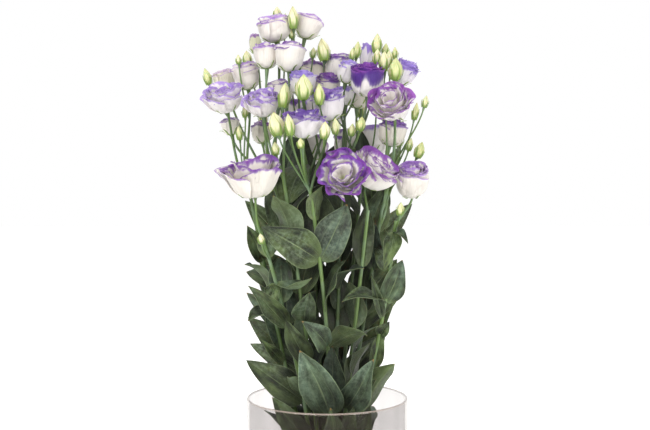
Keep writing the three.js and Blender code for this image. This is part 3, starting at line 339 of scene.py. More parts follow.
# Whorls of petals of each form of bloom, from the outside in: number of petals, turn in
# degrees, span of a petal as a share of its slot, how far the corners of its tip are
# rounded off, how far its lip curls out, how much it winds, and the outline as radius and
# height in shares of the bloom's half width and height
WHORLS = {
    "open": [
        (5, 0, 1.4, 0.14, 0.07, 0.06,
         ((0.08, 0), (0.5, 0.06), (0.78, 0.3), (0.92, 0.56), (1.0, 0.72), (1.06, 0.8))),
        (5, 36, 1.45, 0.12, 0.08, 0.12,
         ((0.08, 0.03), (0.42, 0.12), (0.7, 0.4), (0.82, 0.68), (0.88, 0.86), (0.92, 0.93))),
        (4, 10, 1.6, 0.1, 0.07, 0.22,
         ((0.06, 0.06), (0.3, 0.2), (0.52, 0.48), (0.6, 0.76), (0.63, 0.94), (0.65, 0.99))),
        (3, 55, 1.7, 0.12, 0.06, 0.4,
         ((0.05, 0.1), (0.18, 0.25), (0.3, 0.52), (0.34, 0.78), (0.33, 0.93))),
    ],
    "cup": [
        (3, 0, 2.0, 0.07, 0.17, 0.25,
         ((0.08, 0), (0.58, 0.05), (0.93, 0.28), (1.0, 0.56), (0.94, 0.8), (0.97, 0.9))),
        (4, 40, 1.8, 0.08, 0.16, 0.3,
         ((0.08, 0.03), (0.48, 0.12), (0.84, 0.36), (0.92, 0.64), (0.86, 0.86), (0.9, 0.97))),
        (4, 12, 1.7, 0.1, 0.13, 0.4,
         ((0.06, 0.06), (0.36, 0.2), (0.66, 0.46), (0.74, 0.72), (0.68, 0.92), (0.72, 1.02))),
        (3, 40, 1.7, 0.1, 0.08, 0.5,
         ((0.05, 0.1), (0.24, 0.3), (0.44, 0.56), (0.49, 0.8), (0.46, 1.03))),
        (2, 0, 1.7, 0.1, 0.06, 0.6,
         ((0.03, 0.2), (0.12, 0.42), (0.22, 0.66), (0.24, 0.86), (0.18, 0.98))),
    ],
    "slim": [
        (4, 0, 1.8, 0.08, 0.05, 0.5,
         ((0.1, 0), (0.66, 0.08), (0.98, 0.36), (0.93, 0.68), (0.72, 0.9), (0.76, 0.98))),
        (3, 30, 1.8, 0.1, 0.05, 0.6,
         ((0.08, 0.1), (0.5, 0.3), (0.74, 0.55), (0.66, 0.8), (0.5, 1.0))),
    ],
}
FORM = {"open": "open", "wide": "open", "bell": "cup", "cup": "cup", "plain": "cup", "slim": "slim"}

# Radii between which the painted shade on growth in the middle of the bunch fades to full colour
CROWDED_RADIUS = (30, 85)

# Seeds of the draws for petals, sepals and stems
PETAL_SEED = 1000
SEPAL_SEED = 500
STEM_SEED = 200

# Steps along outlines and stems, sides of rods, how stalks taper to their necks, the angle
# over which an edge is sharp, and how many whorls a mark's number can tell
OUTLINE_STEPS = 60
STEM_STEPS = (8, 26)
STEM_SIDES = 14
STALK_SIDES = 10
BLOOM_STALK_STEPS = 18
BLOOM_STALK_TAPER = (1.25, 0.9)
BLOOM_NECK_RADIUS = 1.9
BUD_STALK_STEPS = 14
BUD_STALK_TAPER = (1.1, 0.85)
BUD_NECK = 0.24
SHARP_ANGLE = 50
DEPTHS = 8

# Petals: rows and columns of the three outer whorls, which the others have two fewer of,
# thickness and its shares at foot and tip, and how much of its width a petal's foot has
PETAL_ROWS = 14
PETAL_COLUMNS = 18
FINE_WHORLS = 3
PETAL_THICKNESS = 0.42
PETAL_TAPER = (1.3, 0.6)
PETAL_FOOT = 0.45

# How far the petals of a whorl differ in height, spread, slant and place, and how far one
# edge stands over the next petal, as shares
PETAL_HEIGHTS = 0.16
PETAL_SPREADS = 0.08
PETAL_LEAN = 0.1
PETAL_SHIFT = 0.18
PETAL_LAP = 0.13

# Waves of a petal: where along it they start, their number, and their depths as shares of
# the bloom's ruffle or half width
RUFFLE_START = 0.45
RUFFLE_WAVES = (1.2, 2.4)
FINE_RUFFLE = 0.3
CRIMP = 0.03
PLEAT = 0.012
DENT = 0.05

# Lips: where they start, how much they curl and fall, how far a petal eases back step by
# step where something is in its way, and the balls along stalks and the levels of another
# bloom that it keeps clear of
LIP_START = 0.68
LIP_CURLS = (0.35, 1.65)
LIP_FALL = 0.75
TUCKS = (1, 0.5, 0)
TUCK_IN = 0.1
STALK_BALLS = 30
BLOOM_LEVELS = (0.2, 1.06)

# Sepals: number, grid, thickness, spacing, lengths, width and width of the point, how far
# off the bloom or bud they lie and how far below its base they start
SEPALS = 5
SEPAL_ROWS = 10
SEPAL_COLUMNS = 5
SEPAL_THICKNESS = 0.45
SEPAL_SHIFT = 0.35
SEPAL_LENGTHS = (0.75, 1.15)
SEPAL_WIDTH = 0.1
SEPAL_TIP = 0.12
SEPAL_GAP = 0.7
SEPAL_SINK = 0.6
BUD_SEPAL_LENGTH = 0.62
BUD_SEPAL_SPREAD = 0.12

# Buds: outline as shares of their length and width, and how their petals are wound
BUD_HEIGHTS = (0, 0.1, 0.25, 0.45, 0.65, 0.82, 0.94, 1)
BUD_RADII = (0.3, 0.38, 0.46, 0.5, 0.42, 0.25, 0.1, 0.02)
BUD_STEPS = 22
BUD_SIDES = 30
BUD_TWIST = 2.4
BUD_RELIEF = 0.2

# Leaves: grid and thickness
LEAF_ROWS = 23
LEAF_ROWS_AT_ENDS = 0.6
LEAF_ACROSS = (1, 0.86, 0.66, 0.45, 0.26, 0.1, 0.035, 0, -0.035, -0.1, -0.26, -0.45, -0.66, -0.86, -1)
LEAF_THICKNESS = 0.5

# Unevenness of the leaves: margin, difference of the halves, waves, groove and dimples in
# mm, curl of the tip, twist, and sway to the side
LEAF_UNEVEN = 0.09
LEAF_HALVES = 0.5
LEAF_WAVES = (0.13, 0.29)
LEAF_GROOVE = 0.5
LEAF_DIMPLES = 0.35
LEAF_TIP_CURL = (-0.02, 0.08)
LEAF_TWIST = 1.1
LEAF_SWAY = 0.07


def mix(a, b, share):
    return a + (b - a) * share


def unit(vector):
    return vector / np.linalg.norm(vector)


def random_from(seed):
    """Numbers from 0 to 1 that are the same on every run."""
    state = (seed * 7919 + 104729) % 2**32

    def draw():
        nonlocal state
        state = (state * 1664525 + 1013904223) % 2**32
        return state / 2**32

    return draw


# Plan

class Room:
    """Room taken so far: balls along everything placed, each with its owner."""

    def __init__(self):
        self.balls = []
        self.owners = {}
        self.table = np.zeros((0, 5))

    def take(self, points, radius, owner):
        number = self.owners.setdefault(owner, len(self.owners))
        self.balls.extend((*point, radius, number) for point in points)

    def clearance(self, points, radius, owners):
        """Free distance between the points and what other owners have taken. Beyond
        FAR_ENOUGH it isn't measured."""
        if len(self.balls) > len(self.table):
            self.table = np.array(self.balls)
        points = np.array(points)
        centres, radii, numbers = self.table[:, :3], self.table[:, 3], self.table[:, 4]
        off = np.maximum(0, np.maximum(points.min(0) - centres, centres - points.max(0)))
        near = np.linalg.norm(off, axis=1) - radii - radius < FAR_ENOUGH
        for owner in owners:
            near &= numbers != self.owners.get(owner, -1)
        if not near.any():
            return FAR_ENOUGH
        apart = np.linalg.norm(centres[near][:, None] - points[None], axis=2)
        return float((apart - radii[near][:, None] - radius).min())


ROOM = Room()


def stem_point(stem, height):
    slot, ring, top, bow = stem
    angle = math.radians(slot)
    x, y = ring * math.cos(angle), ring * math.sin(angle)
    if height < BAND_HEIGHT:
        spread = mix(FOOT_SPREAD, 1, height / BAND_HEIGHT)
        return np.array([x * spread, y * spread, height])
    share = (height - BAND_HEIGHT) / (top[2] - BAND_HEIGHT)
    bulge = 4 * share * (1 - share)
    x = mix(x, top[0], share) + bow[0] * bulge
    y = mix(y, top[1], share) + bow[1] * bulge
    return np.array([x, y, height])


def stem_direction(stem, height):
    return unit(stem_point(stem, height) - stem_point(stem, height - 5))


def stem_name(number):
    return f"stem_{number:02d}"


def top_height(stem):
    return stem[2][2]


def stem_radius(stem, height):
    return mix(STEM_FOOT_RADIUS, STEM_TOP_RADIUS, height / top_height(stem))


def curve_point(controls, share):
    """A place on a smooth curve with four control points."""
    a, b, c, d = controls
    rest = 1 - share
    return a * rest**3 + b * (3 * rest * rest * share) + c * (3 * rest * share * share) + d * share**3


def curve_points(controls, steps):
    return [curve_point(controls, i / steps) for i in range(steps + 1)]


def stalk_point(controls, share):
    """A place on the straight pieces that the solid of a bloom's stalk is made of."""
    step = min(math.floor(share * STALK_STEPS), STALK_STEPS - 1)
    low, high = [curve_point(controls, ring / STALK_STEPS) for ring in (step, step + 1)]
    return mix(low, high, share * STALK_STEPS - step)


def route_stalk(root, root_direction, end, end_direction, radius, owners):
    """A stalk from a root to an end, bent to the side that keeps it clear of the rest."""
    length = np.linalg.norm(end - root)
    painted_middle_shade = unit((end - root) * (1, 1, 0))
    start = unit(root_direction + painted_middle_shade * STALK_SPLAY)
    best = None
    for attempt in range(STALK_TRIES):
        angle = attempt * TRY_TURN
        bend = STALK_TRY_STEP * math.sqrt(attempt)
        aside = np.array([bend * math.cos(angle), bend * math.sin(angle), 0])
        controls = [
            root,
            root + start * length * STALK_PULL[0] + aside,
            end - end_direction * length * STALK_PULL[1] + aside,
            end,
        ]
        free = ROOM.clearance(curve_points(controls, 16)[2:16], radius, owners)
        if best is None or free > best[0]:
            best = (free, controls)
        if free > STALK_CLEARANCE:
            break
    return best[1]


def facing(lean, compass):
    off, turn = math.radians(lean), math.radians(compass)
    return np.array([math.sin(off) * math.cos(turn), math.sin(off) * math.sin(turn), math.cos(off)])


def turn_up_to(axis):
    """The shortest turn, as a matrix, that takes +Z to the axis."""
    x, y, z = axis
    k = 1 / (1 + z)
    return np.array([[1 - k * x * x, -k * x * y, x], [-k * x * y, 1 - k * y * y, y], [-x, -y, z]])


def take_bloom(bloom):
    wide = TALL[bloom["kind"]] < 0.8
    tall, width = bloom["tall"], bloom["width"]
    centre = bloom["base"] + bloom["axis"] * tall * (0.6 if wide else 0.5)
    ROOM.take([centre], tall * 0.45 if wide else max(tall, width) * 0.5, bloom["name"])
    if not wide:
        return
    turn = turn_up_to(bloom["axis"])
    for k in range(8):
        angle = math.pi * k / 4
        edge = turn @ np.array([math.cos(angle), math.sin(angle), 0])
        ROOM.take([centre + edge * width * 0.3], width * 0.22, bloom["name"])


def leaf_frame(leaf):
    """Chord of a leaf, its upper face's normal, and the way across it."""
    chord = leaf["tip"] - leaf["base"]
    direction = unit(chord)
    normal = unit(leaf["face"] - direction * leaf["face"].dot(direction))
    return chord, normal, np.cross(direction, normal)


def leaf_reach(leaf, along):
    return 1.33 * leaf["width"] * (along + 0.02) ** 0.6 * (1 - along) ** 0.9


def leaf_room(leaf):
    chord, normal, side = leaf_frame(leaf)
    points = []
    for along in (0.2, 0.35, 0.5, 0.65, 0.8, 0.97):
        reach = leaf_reach(leaf, along)
        for across in (-0.9, -0.45, 0, 0.45, 0.9):
            lift = leaf["arch"] * 4 * along * (1 - along) + leaf["fold"] * reach * abs(across)
            points.append(leaf["base"] + chord * along + normal * lift + side * reach * across)
    return points


def leaf_clearance(leaf):
    return ROOM.clearance(leaf_room(leaf), LEAF_CLEARANCE, [leaf["stem"]])


def leaf_base(stem, height, painted_middle_shade):
    out = unit(np.array([painted_middle_shade[0], painted_middle_shade[1], 0.0]))
    return stem_point(stem, height) + out * LEAF_ROOT * stem_radius(stem, height)


def plan_placed_leaf(number, height, tip, width, turn, arch, fold):
    """The leaf closest to its stated tip that is clear of the rest."""
    name = stem_name(number)
    stem = STEMS[name]
    base = leaf_base(stem, height, np.array(tip) - stem_point(stem, height))
    form = {"stem": name, "base": base, "width": width, "arch": arch, "fold": fold}
    form["face"] = np.array([0, -turn, 1 - abs(turn)], float)
    best = None
    for attempt in range(LEAF_TRIES):
        angle = attempt * TRY_TURN
        right, away, up = [step * math.sqrt(attempt) for step in LEAF_TRY_STEP]
        shift = np.array([right * math.cos(angle), away * math.sin(angle), up * math.cos(angle * 2)])
        leaf = {**form, "tip": np.array(tip) + shift}
        free = leaf_clearance(leaf)
        if best is None or free > best[0]:
            best = (free, leaf)
        if free > 0:
            break
    return best[1]


def plan_rule_leaf(name, height, compass, random):
    """A leaf that grows by rule, or nothing where no try is clear of the rest."""
    stem = STEMS[name]
    age = (height - LOWEST_PAIR) / (top_height(stem) - LOWEST_PAIR)
    length = mix(*LEAF_LENGTH, age) * mix(*LEAF_VARIATION, random())
    width = mix(*LEAF_WIDTH, age) * mix(*LEAF_VARIATION, random())
    steep = mix(*LEAF_STEEP, random())
    arch = mix(*LEAF_ARCH, random())
    for attempt in range(LEAF_TRIES):
        swing = (1 if attempt % 2 else -1) * LEAF_TRY_SWING * math.ceil(attempt / 2)
        rise = min(steep + LEAF_TRY_RISE * attempt, STEEPEST_LEAF)
        shrink = 1 - LEAF_TRY_SHRINK * attempt
        out = facing(90 - rise, compass + swing)
        base = leaf_base(stem, height, out)
        leaf = {"stem": name, "base": base, "width": width * shrink, "arch": arch, "fold": LEAF_FOLD}
        leaf["tip"] = base + out * length * shrink
        leaf["face"] = np.array([-out[0], -out[1], 1])
        if math.hypot(leaf["tip"][0], leaf["tip"][1]) < LEAF_REACH and leaf_clearance(leaf) > 0:
            return leaf
    return None


def plan_rule_leaves(number):
    """Pairs of leaves up a stem, each a quarter turn from the last, less those whose place
    a leaf of the tables has."""
    random = random_from(number)
    name = stem_name(number)
    top = top_height(STEMS[name])
    leaves = []
    turn = 360 * random()
    height = LOWEST_PAIR + FIRST_PAIR_SPREAD * random()
    while height < top - 2 * ROOT_DEPTH:
        turn += PAIR_TURN + PAIR_SWING * (random() - 0.5)
        placed = [at for owner, at, *rest in PLACED_LEAVES if owner == number]
        taken = sum(abs(at - height) < SHOWN_NEARBY for at in placed)
        for side in (0, 180)[min(taken, 2):]:
            leaf = plan_rule_leaf(name, height, turn + side, random)
            if leaf is not None:
                ROOM.take(leaf_room(leaf), LEAF_CLEARANCE, "leaf")
                leaves.append(leaf)
        height += PAIR_SPACING
    return leaves


def plan_blooms():
    blooms = []
    for name, kind, number, height, rim, width, lean, compass, look, ruffle in BLOOMS:
        axis = facing(lean, compass)
        tall = width * TALL[kind]
        bloom = {"name": name, "kind": kind, "stem": stem_name(number), "height": height}
        bloom.update(width=width, tall=tall, axis=axis, base=np.array(rim) - axis * tall)
        bloom.update(look=look, ruffle=ruffle)
        blooms.append(bloom)
    for bloom in blooms:
        take_bloom(bloom)
    for bloom in blooms:
        name = bloom["stem"]
        stem = STEMS[name]
        root = stem_point(stem, min(bloom["height"], top_height(stem) - ROOT_DEPTH))
        end = bloom["base"] - bloom["axis"] * GAP
        owners = [bloom["name"], name, name + " stalks"]
        start = stem_direction(stem, bloom["height"])
        bloom["stalk"] = route_stalk(root, start, end, bloom["axis"], BLOOM_STALK_RADIUS, owners)
        ROOM.take(curve_points(bloom["stalk"], 24), BLOOM_STALK_RADIUS, name + " stalks")
    return blooms


def plan_buds(blooms):
    buds = []
    by_name = {bloom["name"]: bloom for bloom in blooms}
    for parent, where, middle, width, length in BUDS:
        bloom = by_name.get(parent)
        name = bloom["stem"] if bloom else parent
        stem = STEMS[name]
        if bloom:
            root = stalk_point(bloom["stalk"], where)
            start = unit(stalk_point(bloom["stalk"], where + 0.05) - root)
        else:
            height = min(where, top_height(stem) - ROOT_DEPTH)
            root = stem_point(stem, height)
            start = stem_direction(stem, height)
        centre = np.array(middle, float)
        axis = unit(unit(centre - root) + (0, 0, 1))
        base = centre - axis * length / 2
        stalk = route_stalk(root, start, base, axis, BUD_STALK_RADIUS, [name, name + " stalks"])
        ROOM.take(curve_points(stalk, 24), BUD_STALK_RADIUS, name + " stalks")
        ROOM.take([centre], width * 0.6, name + " stalks")
        if bloom:
            stalk = [curve_point(bloom["stalk"], where), *stalk[1:]]
        bud = {"stem": name, "stalk": stalk, "axis": axis, "base": base}
        buds.append({**bud, "width": width, "length": length})
    return buds


def plan_all():
    for name, stem in STEMS.items():
        for height in range(VASE_FLOOR, top_height(stem), 6):
            ROOM.take([stem_point(stem, height)], stem_radius(stem, height), name)
    blooms = plan_blooms()
    buds = plan_buds(blooms)
    leaves = []
    for row in PLACED_LEAVES:
        leaves.append(plan_placed_leaf(*row))
        ROOM.take(leaf_room(leaves[-1]), LEAF_CLEARANCE, "leaf")
    for number in range(1, len(STEMS) + 1):
        leaves.extend(plan_rule_leaves(number))
    return blooms, buds, leaves


# Meshes


class Surface:
    """Gathers the closed skins of one piece. Each vertex has a mark of three numbers: its
    place along and across its blade, and a number of the blade's own, plus 1 on the far side."""

    def __init__(self):
        self.points, self.faces, self.marks = [], [], []
        self.count = 0

    def add(self, points, faces, marks):
        self.faces.extend([[corner + self.count for corner in face] for face in faces])
        self.points.append(points)
        self.marks.append(marks)
        self.count += len(points)

    def make(self, name, material, node, slot):
        mesh = bpy.data.meshes.new(name)
        points = np.concatenate(self.points) * MM
        mesh.from_pydata(points.tolist(), [], self.faces)
        mark = mesh.attributes.new("mark", "FLOAT_VECTOR", "POINT")
        mark.data.foreach_set("vector", np.concatenate(self.marks).astype(np.float32).ravel())
        mesh.polygons.foreach_set("use_smooth", [True] * len(mesh.polygons))
        mesh.set_sharp_from_angle(angle=math.radians(SHARP_ANGLE))
        mesh.materials.append(material)
        piece = bpy.data.objects.new(name, mesh)
        bpy.context.scene.collection.objects.link(piece)
        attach(piece, "root")
        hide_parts(node)


def own_number(random):
    """A number of a blade's own, which stays under 1."""
    return random() * 0.99


def circle(sides):
    """Angles at even steps all the way round."""
    return 2 * math.pi * np.arange(sides) / sides


def beyond(along, start):
    """0 up to a start, then rising evenly to 1 at the tip."""
    return np.clip((along - start) / (1 - start), 0, 1)


def sheet(surface, grid, thickness, along, across, own):
    """Adds a thin closed blade through a grid of points. Its near side faces the way that
    along turned to across gives."""
    normal = np.cross(np.gradient(grid, axis=0), np.gradient(grid, axis=1))
    normal /= np.linalg.norm(normal, axis=2, keepdims=True) + 1e-9
    near, far = grid + normal * thickness / 2, grid - normal * thickness / 2
    rows, columns = grid.shape[:2]
    index = np.arange(rows * columns).reshape(rows, columns)
    corners = [index[:-1, :-1], index[1:, :-1], index[1:, 1:], index[:-1, 1:]]
    front = np.stack(corners, -1).reshape(-1, 4)
    back = front[:, ::-1] + rows * columns
    loop = np.concatenate([index[:-1, 0], index[-1, :-1], index[:0:-1, -1], index[0, :0:-1]])
    after = np.roll(loop, -1)
    rim = np.stack([after, loop, loop + rows * columns, after + rows * columns], -1)
    marks = np.stack([along.ravel(), across.ravel(), np.full(rows * columns, own)], -1)
    surface.add(
        np.concatenate([near.reshape(-1, 3), far.reshape(-1, 3)]),
        np.concatenate([front, back, rim]).tolist(),
        np.concatenate([marks, marks + (0, 0, 1)]),
    )


def tube(surface, line, radii, sides, own, lobes=0, twist=0.0, relief=0.0):
    """Adds a closed round rod along a line, with lobes round it if it has relief."""
    line = np.array(line)
    radii = np.array(radii, float)
    along = np.gradient(line, axis=0)
    along /= np.linalg.norm(along, axis=1, keepdims=True)
    across = unit(np.cross((0, 1, 0.02), along[0]))
    rings = []
    share = np.linspace(0, 1, len(line))
    angle = circle(sides)
    for i, direction in enumerate(along):
        across = unit(across - direction * across.dot(direction))
        over = np.cross(direction, across)
        wave = 1 + relief * (np.abs(np.sin(lobes * angle / 2 + twist * share[i])) - 0.6)
        ring = np.cos(angle)[:, None] * across + np.sin(angle)[:, None] * over
        rings.append(line[i] + ring * (radii[i] * wave)[:, None])
    count = len(line) * sides
    points = np.concatenate([*rings, line[:1], line[-1:]])
    faces = []
    for i in range(len(line) - 1):
        for k in range(sides):
            low, high, after = i * sides, (i + 1) * sides, (k + 1) % sides
            faces.append([low + k, low + after, high + after, high + k])
    for k in range(sides):
        after = (k + 1) % sides
        faces.append([count, after, k])
        faces.append([count + 1, count - sides + k, count - sides + after])
    marks = np.zeros((count + 2, 3))
    marks[:count, 0] = np.repeat(share, sides)
    marks[:count, 1] = np.tile(np.linspace(-1, 1, sides, endpoint=False), len(line))
    marks[count + 1, 0] = 1
    marks[:, 2] = own
    surface.add(points, faces, marks)


def smooth_outline(outline, wanted):
    """Radii and heights at wanted shares of a smooth curve through an outline's points."""
    knots = np.array(outline, float)
    share = np.concatenate([[0], np.cumsum(np.linalg.norm(np.diff(knots, axis=0), axis=1))])
    share /= share[-1]
    slope = np.gradient(knots, share, axis=0)
    seat = np.clip(np.searchsorted(share, wanted, side="right") - 1, 0, len(knots) - 2)
    span = share[seat + 1] - share[seat]
    t = ((wanted - share[seat]) / span)[:, None]
    span = span[:, None]
    a, b = knots[seat], knots[seat + 1]
    from_a, from_b = slope[seat] * span, slope[seat + 1] * span
    curve = (
        a * (2 * t**3 - 3 * t**2 + 1) + from_a * (t**3 - 2 * t**2 + t)
        + b * (3 * t**2 - 2 * t**3) + from_b * (t**3 - t**2)
    )
    return curve.T


def balls_along(blooms, buds):
    """Balls along every side stalk and bud: middle, radius, and the number of the bloom that
    the stalk carries, or -1."""
    balls = []
    for number, bloom in enumerate(blooms):
        points = curve_points(bloom["stalk"], STALK_BALLS)
        balls.extend((*point, BLOOM_STALK_RADIUS, number) for point in points)
    for bud in buds:
        points = curve_points(bud["stalk"], STALK_BALLS)
        balls.extend((*point, BUD_STALK_RADIUS, -1) for point in points)
        for share in (0.2, 0.45, 0.7):
            middle = bud["base"] + bud["axis"] * bud["length"] * share
            balls.append((*middle, bud["width"] * 0.45, -1))
    return np.array(balls)


def blocked(points, bloom, blooms, balls):
    """Whether any of the points is inside the round outline of another bloom or against a
    stalk or bud."""
    apart = np.linalg.norm(points[:, :, None] - balls[:, :3], axis=-1) - balls[:, 3]
    if apart.size and apart.min() < STALK_CLEARANCE:
        return True
    low, high = BLOOM_LEVELS
    for other in blooms:
        offset = points - other["base"]
        height = offset @ other["axis"]
        away = np.linalg.norm(offset - height[..., None] * other["axis"], axis=-1)
        level = (height > low * other["tall"]) & (height < high * other["tall"])
        if other is not bloom and (level & (away < other["width"] / 2)).any():
            return True
    return False


def add_petals(surface, bloom, blooms, balls):
    """The whorls of a bloom, from the outside in. Each petal has one edge over the next
    petal and one under the one before, and curls out less where another bloom, a stalk or
    a bud is in its way. Its mark's number also tells its whorl."""
    random = random_from(PETAL_SEED + int(bloom["name"][-2:]))
    turn = turn_up_to(bloom["axis"])
    half, tall = bloom["width"] / 2, bloom["tall"]
    shares = np.linspace(0, 1, OUTLINE_STEPS)
    for depth, whorl in enumerate(WHORLS[FORM[bloom["kind"]]]):
        count, first, span, drop, lip, wind, outline = whorl
        fewer = 0 if depth < FINE_WHORLS else 2
        rows = np.linspace(0, 1, PETAL_ROWS - fewer) ** 0.9
        columns = np.linspace(-1, 1, PETAL_COLUMNS - fewer)
        along, across = np.meshgrid(rows, columns, indexing="ij")
        radii, heights = smooth_outline(outline, shares)
        widen = mix(PETAL_FOOT, 1, np.sin(np.minimum(along * 1.25, 1) * math.pi / 2))
        near_rim = beyond(along, RUFFLE_START) ** 1.5
        lip_part = beyond(along, LIP_START) ** 1.7
        lap = PETAL_LAP * across * np.sin(along * math.pi / 2)
        for petal in range(count):
            own = random()
            high = 1 + PETAL_HEIGHTS * (random() - 0.5)
            spread = 1 + PETAL_SPREADS * (random() - 0.5)
            phase, lip_phase = 2 * math.pi * random(), 2 * math.pi * random()
            waves = mix(*RUFFLE_WAVES, random())
            curl = lip * mix(*LIP_CURLS, random())
            lean = PETAL_LEAN * (random() - 0.5)
            shift = PETAL_SHIFT * (random() - 0.5)
            reach = along * (1 - drop * np.abs(across) ** 2.6 + lean * across)
            radius = np.interp(reach, shares, radii)
            height = np.interp(reach, shares, heights) * high
            angle = math.radians(first + 360 * (petal + shift) / count)
            angle = angle + across * widen * span * math.pi / count + wind * along
            ruffle = bloom["ruffle"] * near_rim * np.sin(waves * math.pi * across + phase)
            fine = np.sin(3.7 * waves * across + 2 * phase)
            fine *= FINE_RUFFLE * bloom["ruffle"] * near_rim**2
            crimp = CRIMP * near_rim**2 * np.sin(9.5 * across + 3 * lip_phase)
            pleat = PLEAT * np.sin(math.pi * along) * np.sin(11 * across + 2 * phase)
            dent = DENT * along * np.sin(2.1 * across + 1.7 * lip_phase)
            radius = radius * (spread + dent) * (1 + lap) + ruffle + fine + crimp + pleat
            height = height + 0.5 * (fine - crimp - ruffle * np.cos(phase))
            for eased in TUCKS:
                out = eased * curl * lip_part * (1 + 0.6 * np.sin(2.3 * across + lip_phase))
                reach = half * (radius * (1 - TUCK_IN * (1 - eased) * along) + out)
                rise = tall * height - LIP_FALL * out * lip_part * half
                grid = np.stack([reach * np.cos(angle), reach * np.sin(angle), rise], -1)
                grid = grid @ turn.T + bloom["base"]
                if not blocked(grid, bloom, blooms, balls):
                    break
            thickness = PETAL_THICKNESS * mix(*PETAL_TAPER, along)[..., None]
            sheet(surface, grid, thickness, along, across, (depth + 0.98 * own) / DEPTHS)


def add_sepals(surface, base, axis, outline, length, spread, random):
    """Five narrow pointed sepals that hug an outline of radii and heights, in mm, and then
    bend away from it."""
    turn = turn_up_to(axis)
    rows, columns = np.linspace(0, 1, SEPAL_ROWS), np.linspace(-1, 1, SEPAL_COLUMNS)
    along, across = np.meshgrid(rows, columns, indexing="ij")
    radii, heights = outline
    for k in range(SEPALS):
        angle = 2 * math.pi * (k + SEPAL_SHIFT * random()) / SEPALS
        long = length * mix(*SEPAL_LENGTHS, random())
        bend = spread * (0.3 + random())
        height = long * along * (1 - 0.3 * bend * along**2)
        radius = np.interp(height, heights, radii) + SEPAL_GAP + long * 0.55 * bend * along**2.2
        wide = SEPAL_WIDTH * long * (1 - along) ** 0.6 * (0.3 + along) ** 0.4 + SEPAL_TIP
        turned = angle + across * wide / np.maximum(radius, 1.5)
        grid = np.stack([radius * np.cos(turned), radius * np.sin(turned), height - SEPAL_SINK], -1)
        sheet(surface, grid @ turn.T + base, SEPAL_THICKNESS, along, across, own_number(random))


def add_bud(surface, bud, random):
    """A closed bud: petals wound into a pointed spindle."""
    shares = np.linspace(0, 1, BUD_STEPS)
    radii = np.interp(shares, BUD_HEIGHTS, BUD_RADII) * bud["width"]
    line = [bud["base"] + bud["axis"] * bud["length"] * share for share in shares]
    own = own_number(random)
    tube(surface, line, radii, BUD_SIDES, own, lobes=5, twist=BUD_TWIST, relief=BUD_RELIEF)


def leaf_grid(leaf, random):
    """A leaf's middle surface: halves folded unequally, wavy margin, a twist and a bent tip."""
    chord, normal, side = leaf_frame(leaf)
    length = np.linalg.norm(chord)
    even = np.linspace(0, 1, LEAF_ROWS)
    rows = mix(even, (1 - np.cos(math.pi * even)) / 2, LEAF_ROWS_AT_ENDS)
    along, across = np.meshgrid(rows, LEAF_ACROSS, indexing="ij")
    uneven = 1 + LEAF_UNEVEN * np.sin(7 * along + 6.3 * random() + 2 * across)
    reach = np.maximum(leaf_reach(leaf, np.minimum(along, 0.9999)), 0.3) * uneven
    halves = LEAF_HALVES * (random() - 0.5) * np.sign(across)
    crease = np.sqrt(across**2 + 0.02) - 0.14
    lift = leaf["arch"] * 4 * along * (1 - along) + (leaf["fold"] + halves) * reach * crease
    first, second = 6.3 * random(), 6.3 * random()
    wave = np.where(across > 0, np.sin(9.5 * along + first), np.sin(8 * along + second))
    wave *= mix(*LEAF_WAVES, random()) * np.abs(across) ** 1.6 * np.sqrt(along)
    lift = lift + wave * reach
    lift = lift - LEAF_GROOVE * np.exp(-((across * reach / 0.9) ** 2)) * (1 - along)
    dimples = np.sin(3.1 * across * reach / 4 + first) * np.sin(20 * along + second)
    lift = lift + LEAF_DIMPLES * dimples * np.sqrt(1 - along)
    lift = lift - mix(*LEAF_TIP_CURL, random()) * length * beyond(along, 0.7) ** 2
    twist = LEAF_TWIST * (random() - 0.5) * along
    sway = LEAF_SWAY * length * (random() - 0.5) * np.sin(math.pi * along)
    aside = (reach * across * np.cos(twist) + sway)[..., None]
    lift = (lift + reach * across * np.sin(twist))[..., None]
    return leaf["base"] + chord * along[..., None] + normal * lift + side * aside, along, across


# Materials


def colour(text):
    """Linear colour of a web colour."""
    parts = [int(text[i:i + 2], 16) / 255 for i in (1, 3, 5)]
    return (*[p / 12.92 if p < 0.04045 else ((p + 0.055) / 1.055) ** 2.4 for p in parts], 1)


class Signal:
    """What a node gives out. Signals add, subtract and multiply as numbers do."""

    def __init__(self, shader, socket):
        self.shader, self.socket = shader, socket

    def __add__(self, other):
        return self.shader.math("ADD", self, other)

    def __mul__(self, other):
        return self.shader.math("MULTIPLY", self, other)

    def __sub__(self, other):
        return self.shader.math("SUBTRACT", self, other)

    def __rsub__(self, other):
        return self.shader.math("SUBTRACT", other, self)

    def __abs__(self):
        return self.shader.math("ABSOLUTE", self)

    def whole(self):
        return self.shader.math("FLOOR", self)

    def rest(self):
        return self.shader.math("FRACT", self)


